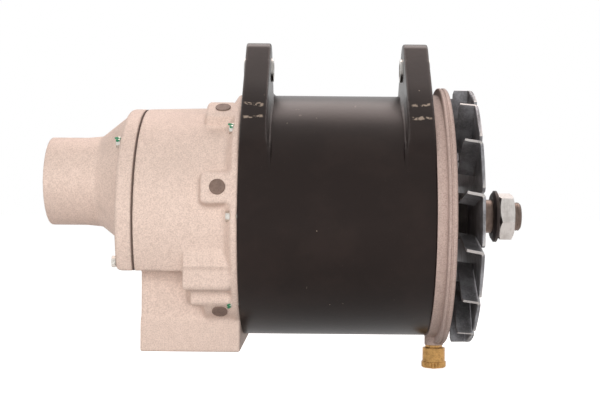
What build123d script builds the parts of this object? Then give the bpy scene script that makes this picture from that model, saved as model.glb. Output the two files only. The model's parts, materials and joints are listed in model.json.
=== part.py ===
from build123d import *
import math
import os

# Heavy vehicle alternator with two pivot lugs, a ducted slip-ring end and an open drive-end fan.
# Parts are drawn about the rotor axis: +X towards the drive end, +Z up through the lugs, X = 0 midway
# between the lugs. On writing they drop by PIVOT_Z, so the shared origin lies on the hinge pivot.
# All lengths in millimetres, angles in degrees.

# ---- fits ----
RUNNING = 0.05          # radial clearance of a part in its bore
PRESS = 0.01            # radial clearance left on pressed seats
SEAT_GAP = 0.3          # gap between parts of different bodies that nearly touch

# ---- yoke ----
YOKE_R = 101.6
YOKE_WALL = 8.0
YOKE_LEN = 154.2
YOKE_IN_R = YOKE_R - YOKE_WALL
YOKE_FRONT_X = YOKE_LEN / 2
YOKE_REAR_X = -YOKE_LEN / 2
SCREW_CIRCLE_R = YOKE_R - YOKE_WALL / 2

# ---- lugs ----
LUG_THICK = 21.1
PIVOT_RISE = 22.4       # hinge axis above the yoke's top
PIVOT_Z = YOKE_R + PIVOT_RISE
LUG_EYE_R = 23.0
LUG_SHOULDER_RISE = 14.762    # shoulder corner above the yoke's circle
LUG_SHOULDER_ANGLE = 61.233
LUG_HIP_RISE = 0.048          # hip corner above the band's circle
LUG_HIP_ANGLE = 35.167
LUG_BAND = 6.0          # height of the saddle band over the yoke
LUG_BAND_FOOT = 16.7    # angle of the band's lower end
LUG_FILLET = 4.0
LUG_SCALLOP = 1.5       # depth of the hollow across each flank
BUSH_R = 10.0
BUSH_BORE_R = 6.5
BUSH_PROUD = 2.0

# ---- shaft end ----
FAN_STANDOFF = 18.9     # bracket face to the back of the fan plate
FAN_PLATE = 2.3
PULLEY_SEAT = 20.2      # bare seat between fan and washer
WASHER_THICK = 5.6
WASHER_R = 22.0
NUT_THICK = 12.3
NUT_ACROSS_FLATS = 36.0
NUT_TURN = 12.0
THREAD_R = 12.0
THREAD_STANDOUT = 6.8
SEAT_R = 14.3

# ---- drive-end bracket ----
BRACKET_RIM = 15.0
RIM_R = YOKE_R + 1.4
LIP_R = RIM_R + 6.0
LIP_WIDTH = 7.1
LIP_GROOVE = 0.8
SPIGOT = 4.0
SPIGOT_CLEAR = 0.05
RIM_WALL = 9.0
SPOKES = 8
SPOKE_WIDTH = 10.0
SPOKE_THICK = 9.0
VENT_OUT_R = YOKE_IN_R - RIM_WALL
FRONT_BEARING = (15.0, 36.0, 19.0)   # bore radius, outer radius, width
REAR_BEARING = (12.5, 31.0, 17.0)
HUB_WALL = 8.0
HUB_PROUD = 3.0
HUB_LAND = 3.0
OIL_BOSS_R = 8.0
OIL_BOSS_Z = -(LIP_R + 1.4)

BRACKET_FRONT_X = YOKE_FRONT_X + BRACKET_RIM
HUB_FRONT_X = BRACKET_FRONT_X + HUB_PROUD
FAN_BACK_X = BRACKET_FRONT_X + FAN_STANDOFF
FAN_FACE_X = FAN_BACK_X + FAN_PLATE
SHOULDER_X = FAN_FACE_X + PULLEY_SEAT
WASHER_FACE_X = SHOULDER_X + WASHER_THICK
NUT_FACE_X = WASHER_FACE_X + NUT_THICK
SHAFT_END_X = NUT_FACE_X + THREAD_STANDOUT

# ---- fan ----
FAN_R = 107.3
FAN_BLADES = 15
FAN_START = 9.8         # angle of the first blade above the -Y side
BLADE_INNER_R = 68.0
BLADE_DEPTH = 14.0      # from the back of the plate to the free edge
BLADE_LEAN = 10.0
BLADE_CHAMFER = 4.0
FAN_NOTCH = 5.0         # width of the cut above each blade

# ---- fasteners ----
SCREW_R = 2.5
SCREW_HEAD_R = 4.6
SCREW_HEAD = 3.5
SCREW_LEN = 18.0
SCREW_BITE = 12.0

# ---- rear housing ----
FLANGE_R = YOKE_R + 0.4
FLANGE_THICK = 5.5
FLANGE_NECK_R = FLANGE_R - 6.6
FLANGE_NECK = 3.6
DRUM_R = 89.0
DRUM_DRAFT = 2.0
DRUM_LEN = 77.9
DRUM_WALL = 5.0
DRUM_FLAT_Z = -44.0
BLOCK_Y = 55.0
BLOCK_STEP = 0.7        # lower slab stands this far proud
BLOCK_STEP_Z = -84.0
BLOCK_Z = -111.0
BLOCK_REAR_SET = 3.0
BLOCK_WALL = 6.0
BLOCK_RIB = 18.0        # closed depth of block next to the yoke
PAD_ANGLES = (13.0, 60.0, -48.0)
PAD_LEN = 21.5
PAD_WIDTH = 16.0
PAD_R = 101.0
VENT_R = 6.25
VENT_DEPTH = 9.0
VENT_PROUD = 1.5
BUMP_LEN = 37.9
BUMP_SIDE = ((-80.0, -22.0), (-86.0, -26.5), (-90.0, -39.5), (-72.0, -58.0), (-55.0, -72.0),
             (-45.0, -72.0), (-45.0, -22.0))
PLATE_PINS = (31.0, 17.0)   # pitch of the four data-plate pin holes
PLATE_PIN_R = 0.8

FLANGE_REAR_X = YOKE_REAR_X - FLANGE_THICK
SEAM_X = FLANGE_REAR_X - DRUM_LEN

# ---- end cover ----
COVER_RIM = 14.0
COVER_WALL = 4.0
COVER_EDGE_R = 4.5
GASKET = 0.8
DUCT_Z = 27.0
DUCT_R = 37.4
DUCT_ROOT_R = 38.7
DUCT_WALL = 3.6
DUCT_STRAIGHT = 30.0
DUCT_LEN = 44.2
CONE_LEN = 24.1
CONE_R = 57.9
COVER_SCREWS = (45.0, 135.0, -26.9, 206.9)
COVER_SCREW_R = 82.0
COVER_BOSS_R = 6.0

COVER_FACE_X = SEAM_X - COVER_RIM
CONE_X = COVER_FACE_X - CONE_LEN
DUCT_END_X = CONE_X - DUCT_LEN

# ---- stator and rotor ----
CORE_LEN = 60.0
AIR_GAP = 0.6
ROTOR_R = YOKE_IN_R - 26.1
SLOTS = 48
SLOT_DEPTH = 15.0
SLOT_WIDTH = 3.8
TURN_LEN = 20.0
CORE_MID_X = (YOKE_FRONT_X + YOKE_REAR_X) / 2
CORE_IN_R = ROTOR_R + AIR_GAP
POLES = 8
POLE_LEN = 72.0
POLE_DISC = 17.0
POLE_CORE_R = 31.0
CLAW_IN_R = ROTOR_R - 10.5
POLE_DISC_R = CLAW_IN_R - 3.0
CLAW_BASE = 28.0
CLAW_TIP = 12.0
CLAW_TIP_GAP = 4.0
COIL_R = CLAW_IN_R - 4.0
BOBBIN = 2.0
MID_SHAFT_R = 17.0

# ---- slip rings and brushes ----
RING_R = 21.0
RING_HUB_R = 17.0
RING_WIDTH = 9.0
RING_PITCH = 13.0
RING_START = 4.5
HUB_TAIL = 5.0
BRUSH = (5.0, 8.0, 19.0)
SPRING_LEN = 11.0
SPRING_R = 2.0
SPRING_WIRE_R = 0.45
SPRING_TURNS = 5
HOLDER_WALL = 2.5
HOLDER_LIFT = 2.5

# ---- rectifier ----
SINK_THICK = 5.0
SINK_GAP = 9.0
SINK_OUT_R = 74.0
SINK_IN_R = 34.0
SINK_BACK = 4.0         # bare length behind the slip rings
DIODE_R = 6.4
DIODE_LEN = 10.0
DIODE_CIRCLE_R = 54.0
POST_R = 4.0
POST_CIRCLE_R = 66.0
POST_ANGLES = (22.0, 90.0, 158.0)

# ---- grease cup ----
CUP_X = 85.3
CUP_NECK_R = 7.25
CUP_NECK = 2.2
CUP_THREAD_R = 8.2
CUP_BODY = 9.0
CAP_R = 9.6
CAP_WALL = 1.5
CAP_LEN = 11.7
CAP_KNURL_R = 10.45
CAP_KNURL = 5.0
KNURLS = 24
PIN_R = 2.45
PIN_PROUD = 1.3


def rod_x(x0, x1, r, y=0.0, z=0.0):
    """Round bar along X."""
    return Pos((x0 + x1) / 2, y, z) * Rot(0, 90, 0) * Cylinder(r, abs(x1 - x0))


def pipe_x(x0, x1, r_out, r_in):
    """Tube along X on the rotor axis."""
    return rod_x(x0, x1, r_out) - rod_x(min(x0, x1) - 1, max(x0, x1) + 1, r_in)


def rod_z(z0, z1, r, x=0.0, y=0.0):
    """Round bar along Z."""
    return Pos(x, y, (z0 + z1) / 2) * Cylinder(r, abs(z1 - z0))


def block(x0, x1, y0, y1, z0, z1):
    """Box between two corners."""
    size = (abs(x1 - x0), abs(y1 - y0), abs(z1 - z0))
    return Pos((x0 + x1) / 2, (y0 + y1) / 2, (z0 + z1) / 2) * Box(*size)


def turned(*points):
    """Body of revolution about X from (x, radius) points."""
    return revolve(Plane.XZ * make_face(Polyline(*points, close=True)), Axis.X, 360)


def section(x0, x1, *points):
    """Prism along X from (y, z) points."""
    face = Plane.YZ.offset(x0) * make_face(Polyline(*points, close=True))
    return extrude(face, x1 - x0)


def turn_to(angle):
    """Rotation about X that carries +Z-pointing parts to an angle above the +Y side."""
    return Rot(angle - 90, 0, 0)


def around(shape, count, start=0.0):
    """Copies of a shape spaced evenly about the rotor axis."""
    return [Rot(start + 360 * i / count, 0, 0) * shape for i in range(count)]


def cut_all(body, tools):
    """Body with every tool removed."""
    for tool in tools:
        body = body - tool
    return body


def join_all(body, parts):
    """Body with every part fused on."""
    for extra in parts:
        body = body + extra
    return body


def hex_x(x0, x1, across_flats, y=0.0, z=0.0, turn=0.0):
    """Hexagonal bar along X, its corners eased by a cone at the outer ends."""
    corner_r = across_flats / math.sqrt(3)
    prism = Plane.YZ.offset(x0) * RegularPolygon(corner_r, 6, rotation=turn)
    ease = corner_r - across_flats / 2
    cone = turned((x0, 0), (x0, across_flats / 2), (x0 + ease / 2, corner_r),
                  (x1 - ease / 2, corner_r), (x1, across_flats / 2), (x1, 0))
    return Pos(0, y, z) * (extrude(prism, x1 - x0) & cone)


def screw_x(head_x, tip_x, y, z):
    """Hex-head screw along X with its head behind head_x, away from tip_x."""
    way = 1 if tip_x > head_x else -1
    low, high = sorted((head_x, head_x - way * SCREW_HEAD))
    head = hex_x(low, high, SCREW_HEAD_R * math.sqrt(3), y, z, 30)
    return head + rod_x(head_x, tip_x, SCREW_R, y, z)


def polar(radius, angle):
    """(y, z) of a point at a radius and an angle above +Y."""
    return radius * math.cos(math.radians(angle)), radius * math.sin(math.radians(angle))


def near(radius, angle):
    """(y, z) of a point at a radius and an angle above the -Y side."""
    return -radius * math.cos(math.radians(angle)), radius * math.sin(math.radians(angle))


# ---------------------------------------------------------------- yoke with lugs
def lug(x0):
    """One saddle lug: eye, convex web and a band that runs down both sides of the yoke."""
    x1 = x0 + LUG_THICK
    shoulder_y, shoulder_z = polar(YOKE_R + LUG_SHOULDER_RISE, LUG_SHOULDER_ANGLE)
    hip_y, hip_z = polar(YOKE_R + LUG_BAND + LUG_HIP_RISE, LUG_HIP_ANGLE)
    # line from the shoulder that touches the eye circle
    rise = shoulder_z - PIVOT_Z
    lean = math.atan2(rise, shoulder_y) + math.acos(LUG_EYE_R / math.hypot(shoulder_y, rise))
    touch = (LUG_EYE_R * math.cos(lean), PIVOT_Z + LUG_EYE_R * math.sin(lean))
    web = section(x0, x1, (-hip_y, hip_z), (-shoulder_y, shoulder_z), (-touch[0], touch[1]), touch,
                  (shoulder_y, shoulder_z), (hip_y, hip_z), (0, 0))
    foot = math.degrees(math.atan2(hip_z, hip_y)) + 1
    ring = rod_x(x0, x1, YOKE_R + LUG_BAND)
    for side in (polar, near):
        wedge = section(x0, x1, (0, 0), side(2 * YOKE_R, LUG_BAND_FOOT), side(2 * YOKE_R, foot))
        web = web + (ring & wedge)
    web = web + rod_x(x0, x1, LUG_EYE_R, 0, PIVOT_Z)
    along = math.atan2(hip_z - shoulder_z, hip_y - shoulder_y)
    mid_y, mid_z = shoulder_y + 0.35 * (hip_y - shoulder_y), shoulder_z + 0.35 * (hip_z - shoulder_z)
    hollow_r = 14.0
    out_y = -math.sin(along) * (hollow_r - LUG_SCALLOP)
    out_z = math.cos(along) * (hollow_r - LUG_SCALLOP)
    for way in (1, -1):
        web = web - rod_x(x0 - 1, x1 + 1, hollow_r, way * (mid_y + out_y), mid_z + out_z)
    return web


def yoke():
    """Black yoke tube with both lugs cast on, bored for the stator and the bushes."""
    body = rod_x(YOKE_REAR_X, YOKE_FRONT_X, YOKE_R)
    for x0 in LUG_X:
        body = body + lug(x0)
    inner = [e for e in body.edges() if on_lug_root(e)]
    if inner:
        body = fillet(inner, LUG_FILLET)
    body = body - rod_x(YOKE_REAR_X - 1, YOKE_FRONT_X + LUG_THICK, YOKE_IN_R)
    for x0 in LUG_X:
        body = body - rod_x(x0 - 1, x0 + LUG_THICK + 1, BUSH_R + RUNNING, 0, PIVOT_Z)
    for y, z in SCREW_SPOTS:
        body = body - rod_x(YOKE_REAR_X, YOKE_REAR_X + SCREW_LEN, SCREW_R + RUNNING, y, z)
    for y, z in BRACKET_SPOTS:
        body = body - rod_x(YOKE_FRONT_X - SCREW_LEN, YOKE_FRONT_X, SCREW_R + RUNNING, y, z)
    return body


def on_lug_root(edge):
    """True for the arcs where the lugs' inner faces meet the yoke tube."""
    inner_faces = (LUG_X[0] + LUG_THICK, LUG_X[1])
    middle = edge @ 0.5
    at_face = any(abs(middle.X - x) < 0.01 for x in inner_faces)
    return at_face and abs(math.hypot(middle.Y, middle.Z) - YOKE_R) < 0.01 and middle.Z > 0


LUG_X = (YOKE_REAR_X, YOKE_FRONT_X - LUG_THICK)
SCREW_ANGLES = (0, 45, 135, 180, 225, 315)
SCREW_SPOTS = [polar(SCREW_CIRCLE_R, a) for a in SCREW_ANGLES]
BRACKET_ANGLES = (22.5, 67.5, 112.5, 157.5, 202.5, 247.5, 292.5, 337.5)
BRACKET_SPOTS = [polar(SCREW_CIRCLE_R, a) for a in BRACKET_ANGLES]


def lug_bush(x0):
    """Steel bush pressed in a lug, proud at both faces."""
    low, high = x0 - BUSH_PROUD, x0 + LUG_THICK + BUSH_PROUD
    return rod_x(low, high, BUSH_R, 0, PIVOT_Z) - rod_x(low - 1, high + 1, BUSH_BORE_R, 0, PIVOT_Z)


# ---------------------------------------------------------------- drive-end bracket
FRONT_BEARING_X = (HUB_FRONT_X - HUB_LAND - FRONT_BEARING[2], HUB_FRONT_X - HUB_LAND)
FRONT_HUB_R = FRONT_BEARING[1] + HUB_WALL
RETAINER_THICK = 3.0
RETAINER_SCREW_R = FRONT_BEARING[1] + HUB_WALL / 2


def drive_bracket():
    """Aluminium drive-end bracket: lipped rim, spokes, bearing hub and grease boss."""
    rear, front = YOKE_FRONT_X, BRACKET_FRONT_X
    lip = front - LIP_WIDTH
    rim = turned((rear, VENT_OUT_R), (rear - SPIGOT, VENT_OUT_R), (rear - SPIGOT, YOKE_IN_R - SPIGOT_CLEAR),
                 (rear, YOKE_IN_R - SPIGOT_CLEAR), (rear, RIM_R), (lip, RIM_R), (lip, LIP_R - 0.8),
                 (lip + 0.8, LIP_R), (lip + 2.2, LIP_R), (lip + 2.6, LIP_R - LIP_GROOVE),
                 (lip + 3.6, LIP_R - LIP_GROOVE), (lip + 4.0, LIP_R), (front - 1, LIP_R), (front, LIP_R - 1),
                 (front, LIP_R - 8), (front - 2.5, LIP_R - 10), (front - 2.5, VENT_OUT_R))
    hub_rear = FRONT_BEARING_X[0]
    hub = pipe_x(hub_rear, HUB_FRONT_X, FRONT_HUB_R, SEAT_R + 8.0)
    spoke = block(front - 3 - SPOKE_THICK, front - 3, -SPOKE_WIDTH / 2, SPOKE_WIDTH / 2,
                  FRONT_HUB_R - 3, VENT_OUT_R + 1)
    body = join_all(rim + hub, around(spoke, SPOKES, 360 / SPOKES / 2))
    boss = rod_z(OIL_BOSS_Z, -YOKE_IN_R, OIL_BOSS_R, CUP_X)
    body = body + (boss & block(YOKE_FRONT_X, BRACKET_FRONT_X + 2, -50, 50, OIL_BOSS_Z, 0))
    body = body - rod_x(hub_rear - 1, FRONT_BEARING_X[1], FRONT_BEARING[1] + PRESS)
    body = body - rod_z(OIL_BOSS_Z - 1, -YOKE_IN_R + 4, CUP_NECK_R - 2, CUP_X)
    for y, z in BRACKET_SPOTS:
        body = body - rod_x(rear - 1, front - 2.5, SCREW_R + RUNNING, y, z)
        body = body - rod_x(front - 2.5, front + 1, SCREW_HEAD_R + 1, y, z)
    for y, z in RETAINER_SPOTS:
        body = body - rod_x(hub_rear - 1, hub_rear + 9, 1.5 + RUNNING, y, z)
    return body


RETAINER_SPOTS = [polar(RETAINER_SCREW_R, a) for a in (30, 150, 270)]


def bearing_retainer():
    """Plate that keeps the drive-end bearing in its hub."""
    x1 = FRONT_BEARING_X[0]
    plate = pipe_x(x1 - RETAINER_THICK, x1, FRONT_HUB_R, FRONT_BEARING[1] - 6)
    return cut_all(plate, [rod_x(x1 - 9, x1 + 1, 1.5 + RUNNING, y, z) for y, z in RETAINER_SPOTS])


def retainer_screws():
    """Cheese-head screws through the retainer."""
    x0 = FRONT_BEARING_X[0] - RETAINER_THICK
    return [rod_x(x0 - 2, x0, 2.8, y, z) + rod_x(x0, x0 + 10, 1.5, y, z) for y, z in RETAINER_SPOTS]


# ---------------------------------------------------------------- bearings
def race_groove(bearing, x_mid, ball_r, slack):
    """Torus that a ball row sweeps between two races."""
    mid_r = (bearing[0] + bearing[1]) / 2
    return Pos(x_mid, 0, 0) * Rot(0, 90, 0) * Torus(mid_r, ball_r + slack)


def ball_row(bearing, span, count):
    """Inner race, outer race, balls and cage of a deep-groove bearing."""
    x0, x1 = span
    x_mid = (x0 + x1) / 2
    mid_r = (bearing[0] + bearing[1]) / 2
    gap = (bearing[1] - bearing[0])
    ball_r = gap * 0.28
    groove = race_groove(bearing, x_mid, ball_r, RUNNING)
    inner = pipe_x(x0, x1, mid_r - gap * 0.16, bearing[0] + PRESS) - groove
    outer = pipe_x(x0, x1, bearing[1], mid_r + gap * 0.16) - groove
    balls = [Pos(x_mid, *polar(mid_r, 360 * i / count)) * Sphere(ball_r) for i in range(count)]
    pockets = around(rod_z(mid_r - 4, mid_r + 4, ball_r + RUNNING, x_mid), count, -90)
    cage = cut_all(pipe_x(x_mid - ball_r - 1, x_mid + ball_r + 1, mid_r + 1.2, mid_r - 1.2), pockets)
    return inner, outer, balls, cage


# ---------------------------------------------------------------- rear housing
REAR_HUB_X = (YOKE_REAR_X - 24.0, YOKE_REAR_X - 2.0)
REAR_BEARING_X = (REAR_HUB_X[1] - 2 - REAR_BEARING[2], REAR_HUB_X[1] - 2)


def drum(x0, x1, r0, r1, flat_z):
    """Drafted drum with a flat underside."""
    body = turned((x0, 0), (x0, r0), (x1, r1), (x1, 0))
    return body & block(x0 - 1, x1 + 1, -r1 - 1, r1 + 1, flat_z, r1 + 1)


def terminal_block(grow):
    """Outer form of the terminal block, or of its hollow when grow is negative."""
    top = DRUM_FLAT_Z + DRUM_WALL + 1
    x0 = SEAM_X + BLOCK_REAR_SET - grow
    if grow < 0:
        return block(x0, YOKE_REAR_X - BLOCK_RIB, -BLOCK_Y - grow, BLOCK_Y + grow, BLOCK_Z - grow, top)
    upper = block(x0, YOKE_REAR_X, -BLOCK_Y, BLOCK_Y, BLOCK_STEP_Z, top)
    face = BLOCK_Y + BLOCK_STEP
    return upper + block(x0 - BLOCK_STEP, YOKE_REAR_X, -face, face, BLOCK_Z, BLOCK_STEP_Z)


def pad(angle):
    """Square boss for one vent, on the drum near the flange."""
    x1 = FLANGE_REAR_X + 0.5
    raw = block(x1 - PAD_LEN, x1, -PAD_WIDTH / 2, PAD_WIDTH / 2, DRUM_R - 8, PAD_R)
    return turn_to(angle) * fillet(raw.edges().filter_by(Axis.Z), 2.0)


ALL_PADS = [a for angle in PAD_ANGLES for a in (angle, 180 - angle)]
PAD_X = FLANGE_REAR_X + 0.5 - PAD_LEN / 2


def vent_spot(angle, r0, r1, radius):
    """Round tool along a vent's own radius."""
    return turn_to(angle) * rod_z(r0, r1, radius, PAD_X)


def rear_housing():
    """Aluminium rear housing: drum, terminal block, flange, bearing web and vent bosses."""
    body = drum(SEAM_X + GASKET / 2, FLANGE_REAR_X + 1, DRUM_R, DRUM_R + DRUM_DRAFT, DRUM_FLAT_Z)
    body = body + terminal_block(0)
    flange = turned((FLANGE_REAR_X - FLANGE_NECK - 4, 0), (FLANGE_REAR_X - FLANGE_NECK - 4, DRUM_R),
                    (FLANGE_REAR_X - FLANGE_NECK, FLANGE_NECK_R), (FLANGE_REAR_X + 1, FLANGE_R),
                    (YOKE_REAR_X, FLANGE_R), (YOKE_REAR_X, YOKE_IN_R - SPIGOT_CLEAR),
                    (YOKE_REAR_X + SPIGOT, YOKE_IN_R - SPIGOT_CLEAR), (YOKE_REAR_X + SPIGOT, YOKE_IN_R - 6),
                    (YOKE_REAR_X, YOKE_IN_R - 6), (YOKE_REAR_X, 0))
    body = join_all(body + flange, [pad(a) for a in ALL_PADS])
    bump = section(FLANGE_REAR_X - BUMP_LEN, FLANGE_REAR_X + 1, *BUMP_SIDE)
    body = body + bump
    hollow = drum(SEAM_X - 1, FLANGE_REAR_X, DRUM_R - DRUM_WALL, DRUM_R - DRUM_WALL,
                  DRUM_FLAT_Z + DRUM_WALL)
    body = body - hollow - terminal_block(-BLOCK_WALL)
    hub = rod_x(REAR_HUB_X[0], REAR_HUB_X[1], REAR_BEARING[1] + 6)
    body = body + hub - rod_x(REAR_BEARING_X[0], YOKE_REAR_X + 1, REAR_BEARING[1] + PRESS)
    body = body - rod_x(REAR_HUB_X[0] - 1, REAR_BEARING_X[0] + 1, REAR_BEARING[0] + 4)
    window = section(FLANGE_REAR_X - 1, YOKE_REAR_X + 1, polar(46, 78), polar(76, 74), polar(76, 106),
                     polar(46, 102))
    body = cut_all(body, [Rot(a, 0, 0) * window for a in (-45, 45, 180, 135, 225)])
    bosses = [rod_x(SEAM_X + GASKET / 2, SEAM_X + 22, COVER_BOSS_R, y, z) for y, z in COVER_SPOTS]
    shell = drum(SEAM_X, FLANGE_REAR_X, DRUM_R, DRUM_R, DRUM_FLAT_Z)
    body = join_all(body, [b & shell for b in bosses])
    body = cut_all(body, [rod_x(SEAM_X - 1, SEAM_X + 18, SCREW_R + RUNNING, y, z) for y, z in COVER_SPOTS])
    for y, z in SCREW_SPOTS:
        body = body - rod_x(FLANGE_REAR_X - 1, YOKE_REAR_X + 1, SCREW_R + RUNNING, y, z)
        body = body - rod_x(FLANGE_REAR_X - 12, FLANGE_REAR_X, SCREW_HEAD_R + 1, y, z)
    for a in ALL_PADS:
        body = body - vent_spot(a, PAD_R - VENT_DEPTH, PAD_R + 1, VENT_R)
    for x, z in PLATE_SPOTS:
        body = body - Pos(x, -BLOCK_FACE_Y, z) * Rot(90, 0, 0) * Cylinder(PLATE_PIN_R, 2)
    for x, radius in TERMINALS:
        body = body - Pos(x, BLOCK_FACE_Y, TERMINAL_Z) * Rot(90, 0, 0) * Cylinder(radius + 1.5, 3 * BLOCK_WALL)
    return body


COVER_SPOTS = [polar(COVER_SCREW_R, a) for a in COVER_SCREWS]
BLOCK_FACE_Y = BLOCK_Y + BLOCK_STEP
PLATE_MID = (SEAM_X + BLOCK_REAR_SET + 21.0, (BLOCK_Z + BLOCK_STEP_Z) / 2)
PLATE_SPOTS = [(PLATE_MID[0] + i * PLATE_PINS[0] / 2, PLATE_MID[1] + j * PLATE_PINS[1] / 2)
               for i in (-1, 1) for j in (-1, 1)]
TERMINAL_Z = (BLOCK_Z + BLOCK_STEP_Z) / 2
TERMINAL_MID_X = SEAM_X + BLOCK_REAR_SET + 35.0
TERMINALS = ((TERMINAL_MID_X - 15, 4.0), (TERMINAL_MID_X + 15, 4.0), (TERMINAL_MID_X, 2.5))


def vent_gauze():
    """Wire-gauze discs, one in each vent boss."""
    return [vent_spot(a, PAD_R - 2.0, PAD_R + VENT_PROUD, VENT_R - RUNNING) for a in ALL_PADS]


def housing_screws():
    """Screws that hold the rear housing to the yoke."""
    return [screw_x(FLANGE_REAR_X, YOKE_REAR_X + SCREW_BITE, y, z) for y, z in SCREW_SPOTS]


def bracket_screws():
    """Screws that hold the drive-end bracket to the yoke."""
    head = BRACKET_FRONT_X - 2.5
    return [screw_x(head, YOKE_FRONT_X - SCREW_BITE, y, z) for y, z in BRACKET_SPOTS]


# ---------------------------------------------------------------- end cover
def end_cover():
    """Cast end cover with its offset air-duct spigot."""
    low, high = COVER_FACE_X, SEAM_X - GASKET / 2
    rim = drum(low, high, DRUM_R, DRUM_R, DRUM_FLAT_Z)
    rim = fillet(rim.edges().filter_by_position(Axis.X, low - 0.01, low + 0.01), COVER_EDGE_R)
    duct = turned((CONE_X, 0), (CONE_X, DUCT_ROOT_R), (DUCT_END_X + DUCT_STRAIGHT, DUCT_R),
                  (DUCT_END_X, DUCT_R), (DUCT_END_X, 0))
    cone = turned((low + 3, 0), (low + 3, CONE_R), (low, CONE_R), (CONE_X, DUCT_ROOT_R), (CONE_X, 0))
    body = rim + Pos(0, 0, DUCT_Z) * (duct + cone)
    wall = COVER_WALL
    body = body - drum(low + wall, high + 1, DRUM_R - DRUM_WALL, DRUM_R - DRUM_WALL, DRUM_FLAT_Z + DRUM_WALL)
    passage = turned((low + wall + 1, 0), (low + wall + 1, CONE_R - wall), (CONE_X + 1, DUCT_ROOT_R - wall),
                     (DUCT_END_X - 1, DUCT_R - DUCT_WALL), (DUCT_END_X - 1, 0))
    body = body - Pos(0, 0, DUCT_Z) * passage
    bosses = [rod_x(low + 2, high, COVER_BOSS_R, y, z) & drum(low, high, DRUM_R, DRUM_R, DRUM_FLAT_Z)
              for y, z in COVER_SPOTS]
    body = join_all(body, bosses)
    for y, z in COVER_SPOTS:
        body = body - rod_x(low - 12, low, SCREW_HEAD_R + 1.2, y, z)
        body = body - rod_x(low - 1, high + 1, SCREW_R + RUNNING, y, z)
    return body


def cover_gasket():
    """Flat gasket in the cover seam."""
    low, high = SEAM_X - GASKET / 2, SEAM_X + GASKET / 2
    ring = drum(low, high, DRUM_R - 0.3, DRUM_R - 0.3, DRUM_FLAT_Z + 0.3)
    ring = ring - drum(low - 1, high + 1, DRUM_R - DRUM_WALL, DRUM_R - DRUM_WALL, DRUM_FLAT_Z + DRUM_WALL)
    return cut_all(ring, [rod_x(low - 1, high + 1, SCREW_R + 0.3, y, z) for y, z in COVER_SPOTS])


def cover_screws():
    """Screws that hold the end cover."""
    return [screw_x(COVER_FACE_X, SEAM_X + 12, y, z) for y, z in COVER_SPOTS]


# ---------------------------------------------------------------- stator
def stator_core():
    """Laminated stator ring with open slots."""
    x0, x1 = CORE_MID_X - CORE_LEN / 2, CORE_MID_X + CORE_LEN / 2
    body = pipe_x(x0, x1, YOKE_IN_R - PRESS, CORE_IN_R)
    slot = block(x0 - 1, x1 + 1, -SLOT_WIDTH / 2, SLOT_WIDTH / 2, CORE_IN_R - 2, CORE_IN_R + SLOT_DEPTH)
    return body - Compound(around(slot, SLOTS))


def stator_winding():
    """Copper winding: bars in the slots joined by rounded end turns."""
    x0, x1 = CORE_MID_X - CORE_LEN / 2, CORE_MID_X + CORE_LEN / 2
    low, high = CORE_IN_R + 2.5, CORE_IN_R + SLOT_DEPTH - 0.5
    bar = block(x0 - 3, x1 + 3, -SLOT_WIDTH / 2 + 0.2, SLOT_WIDTH / 2 - 0.2, low, high)
    ends = []
    for start, way in ((x0, -1), (x1, 1)):
        near, far = start + way * 1.5, start + way * TURN_LEN
        ends.append(turned((near, low), (far - way * 5, low), (far, low + 4), (far, high + 1),
                           (far - way * 5, high + 5), (near + way * 4, high + 5), (near, high)))
    return ends[0] + ends[1] + around(bar, SLOTS)


# ---------------------------------------------------------------- rotor
def claw_pole(x_back, way, turn):
    """One claw-pole half: back disc, centre core and tapered claws pointing along way."""
    disc = rod_x(x_back, x_back + way * POLE_DISC, POLE_DISC_R)
    core = rod_x(x_back, x_back + way * POLE_LEN / 2, POLE_CORE_R)
    tip = x_back + way * (POLE_LEN - CLAW_TIP_GAP)
    root = x_back + way * POLE_DISC
    outline = Plane.XY.offset(POLE_DISC_R - 8) * make_face(Polyline(
        (x_back, -CLAW_BASE / 2), (root, -CLAW_BASE / 2), (tip, -CLAW_TIP / 2), (tip, CLAW_TIP / 2),
        (root, CLAW_BASE / 2), (x_back, CLAW_BASE / 2), close=True))
    finger = extrude(outline, ROTOR_R) & rod_x(x_back - way, tip + way, ROTOR_R)
    finger = finger - rod_x(root, tip + way * 2, CLAW_IN_R)
    body = join_all(disc + core, around(finger, POLES, turn))
    return body - rod_x(x_back - 90, x_back + 90, MID_SHAFT_R + PRESS)


POLE_BACK = CORE_MID_X - POLE_LEN / 2
POLE_FRONT = CORE_MID_X + POLE_LEN / 2


def field_coil():
    """Field winding on its bobbin, between the claw-pole discs."""
    x0, x1 = POLE_BACK + POLE_DISC + 0.2, POLE_FRONT - POLE_DISC - 0.2
    inner = POLE_CORE_R + 0.2
    return turned((x0, inner), (x0, COIL_R), (x0 + BOBBIN, COIL_R), (x0 + BOBBIN, COIL_R - 1.5),
                  (x1 - BOBBIN, COIL_R - 1.5), (x1 - BOBBIN, COIL_R), (x1, COIL_R), (x1, inner))


RING_X = [REAR_HUB_X[0] - RING_START - RING_WIDTH / 2 - i * RING_PITCH for i in (0, 1)]
SHAFT_REAR_X = RING_X[1] - RING_WIDTH / 2 - HUB_TAIL


def rotor_shaft():
    """Stepped rotor shaft with its thread blank at the drive end."""
    end = SHAFT_END_X
    collar = FRONT_BEARING_X[0]
    shaft = turned((SHAFT_REAR_X, 0), (SHAFT_REAR_X, REAR_BEARING[0] - 1), (SHAFT_REAR_X + 1, REAR_BEARING[0]),
                   (REAR_BEARING_X[1], REAR_BEARING[0]), (REAR_BEARING_X[1], MID_SHAFT_R),
                   (collar, MID_SHAFT_R), (collar, FRONT_BEARING[0]),
                   (FRONT_BEARING_X[1], FRONT_BEARING[0]), (FRONT_BEARING_X[1], SEAT_R), (SHOULDER_X, SEAT_R), (SHOULDER_X, THREAD_R),
                   (end - 1.5, THREAD_R), (end, THREAD_R - 1.5), (end, 0))
    return shaft - KEY_TOOL


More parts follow.
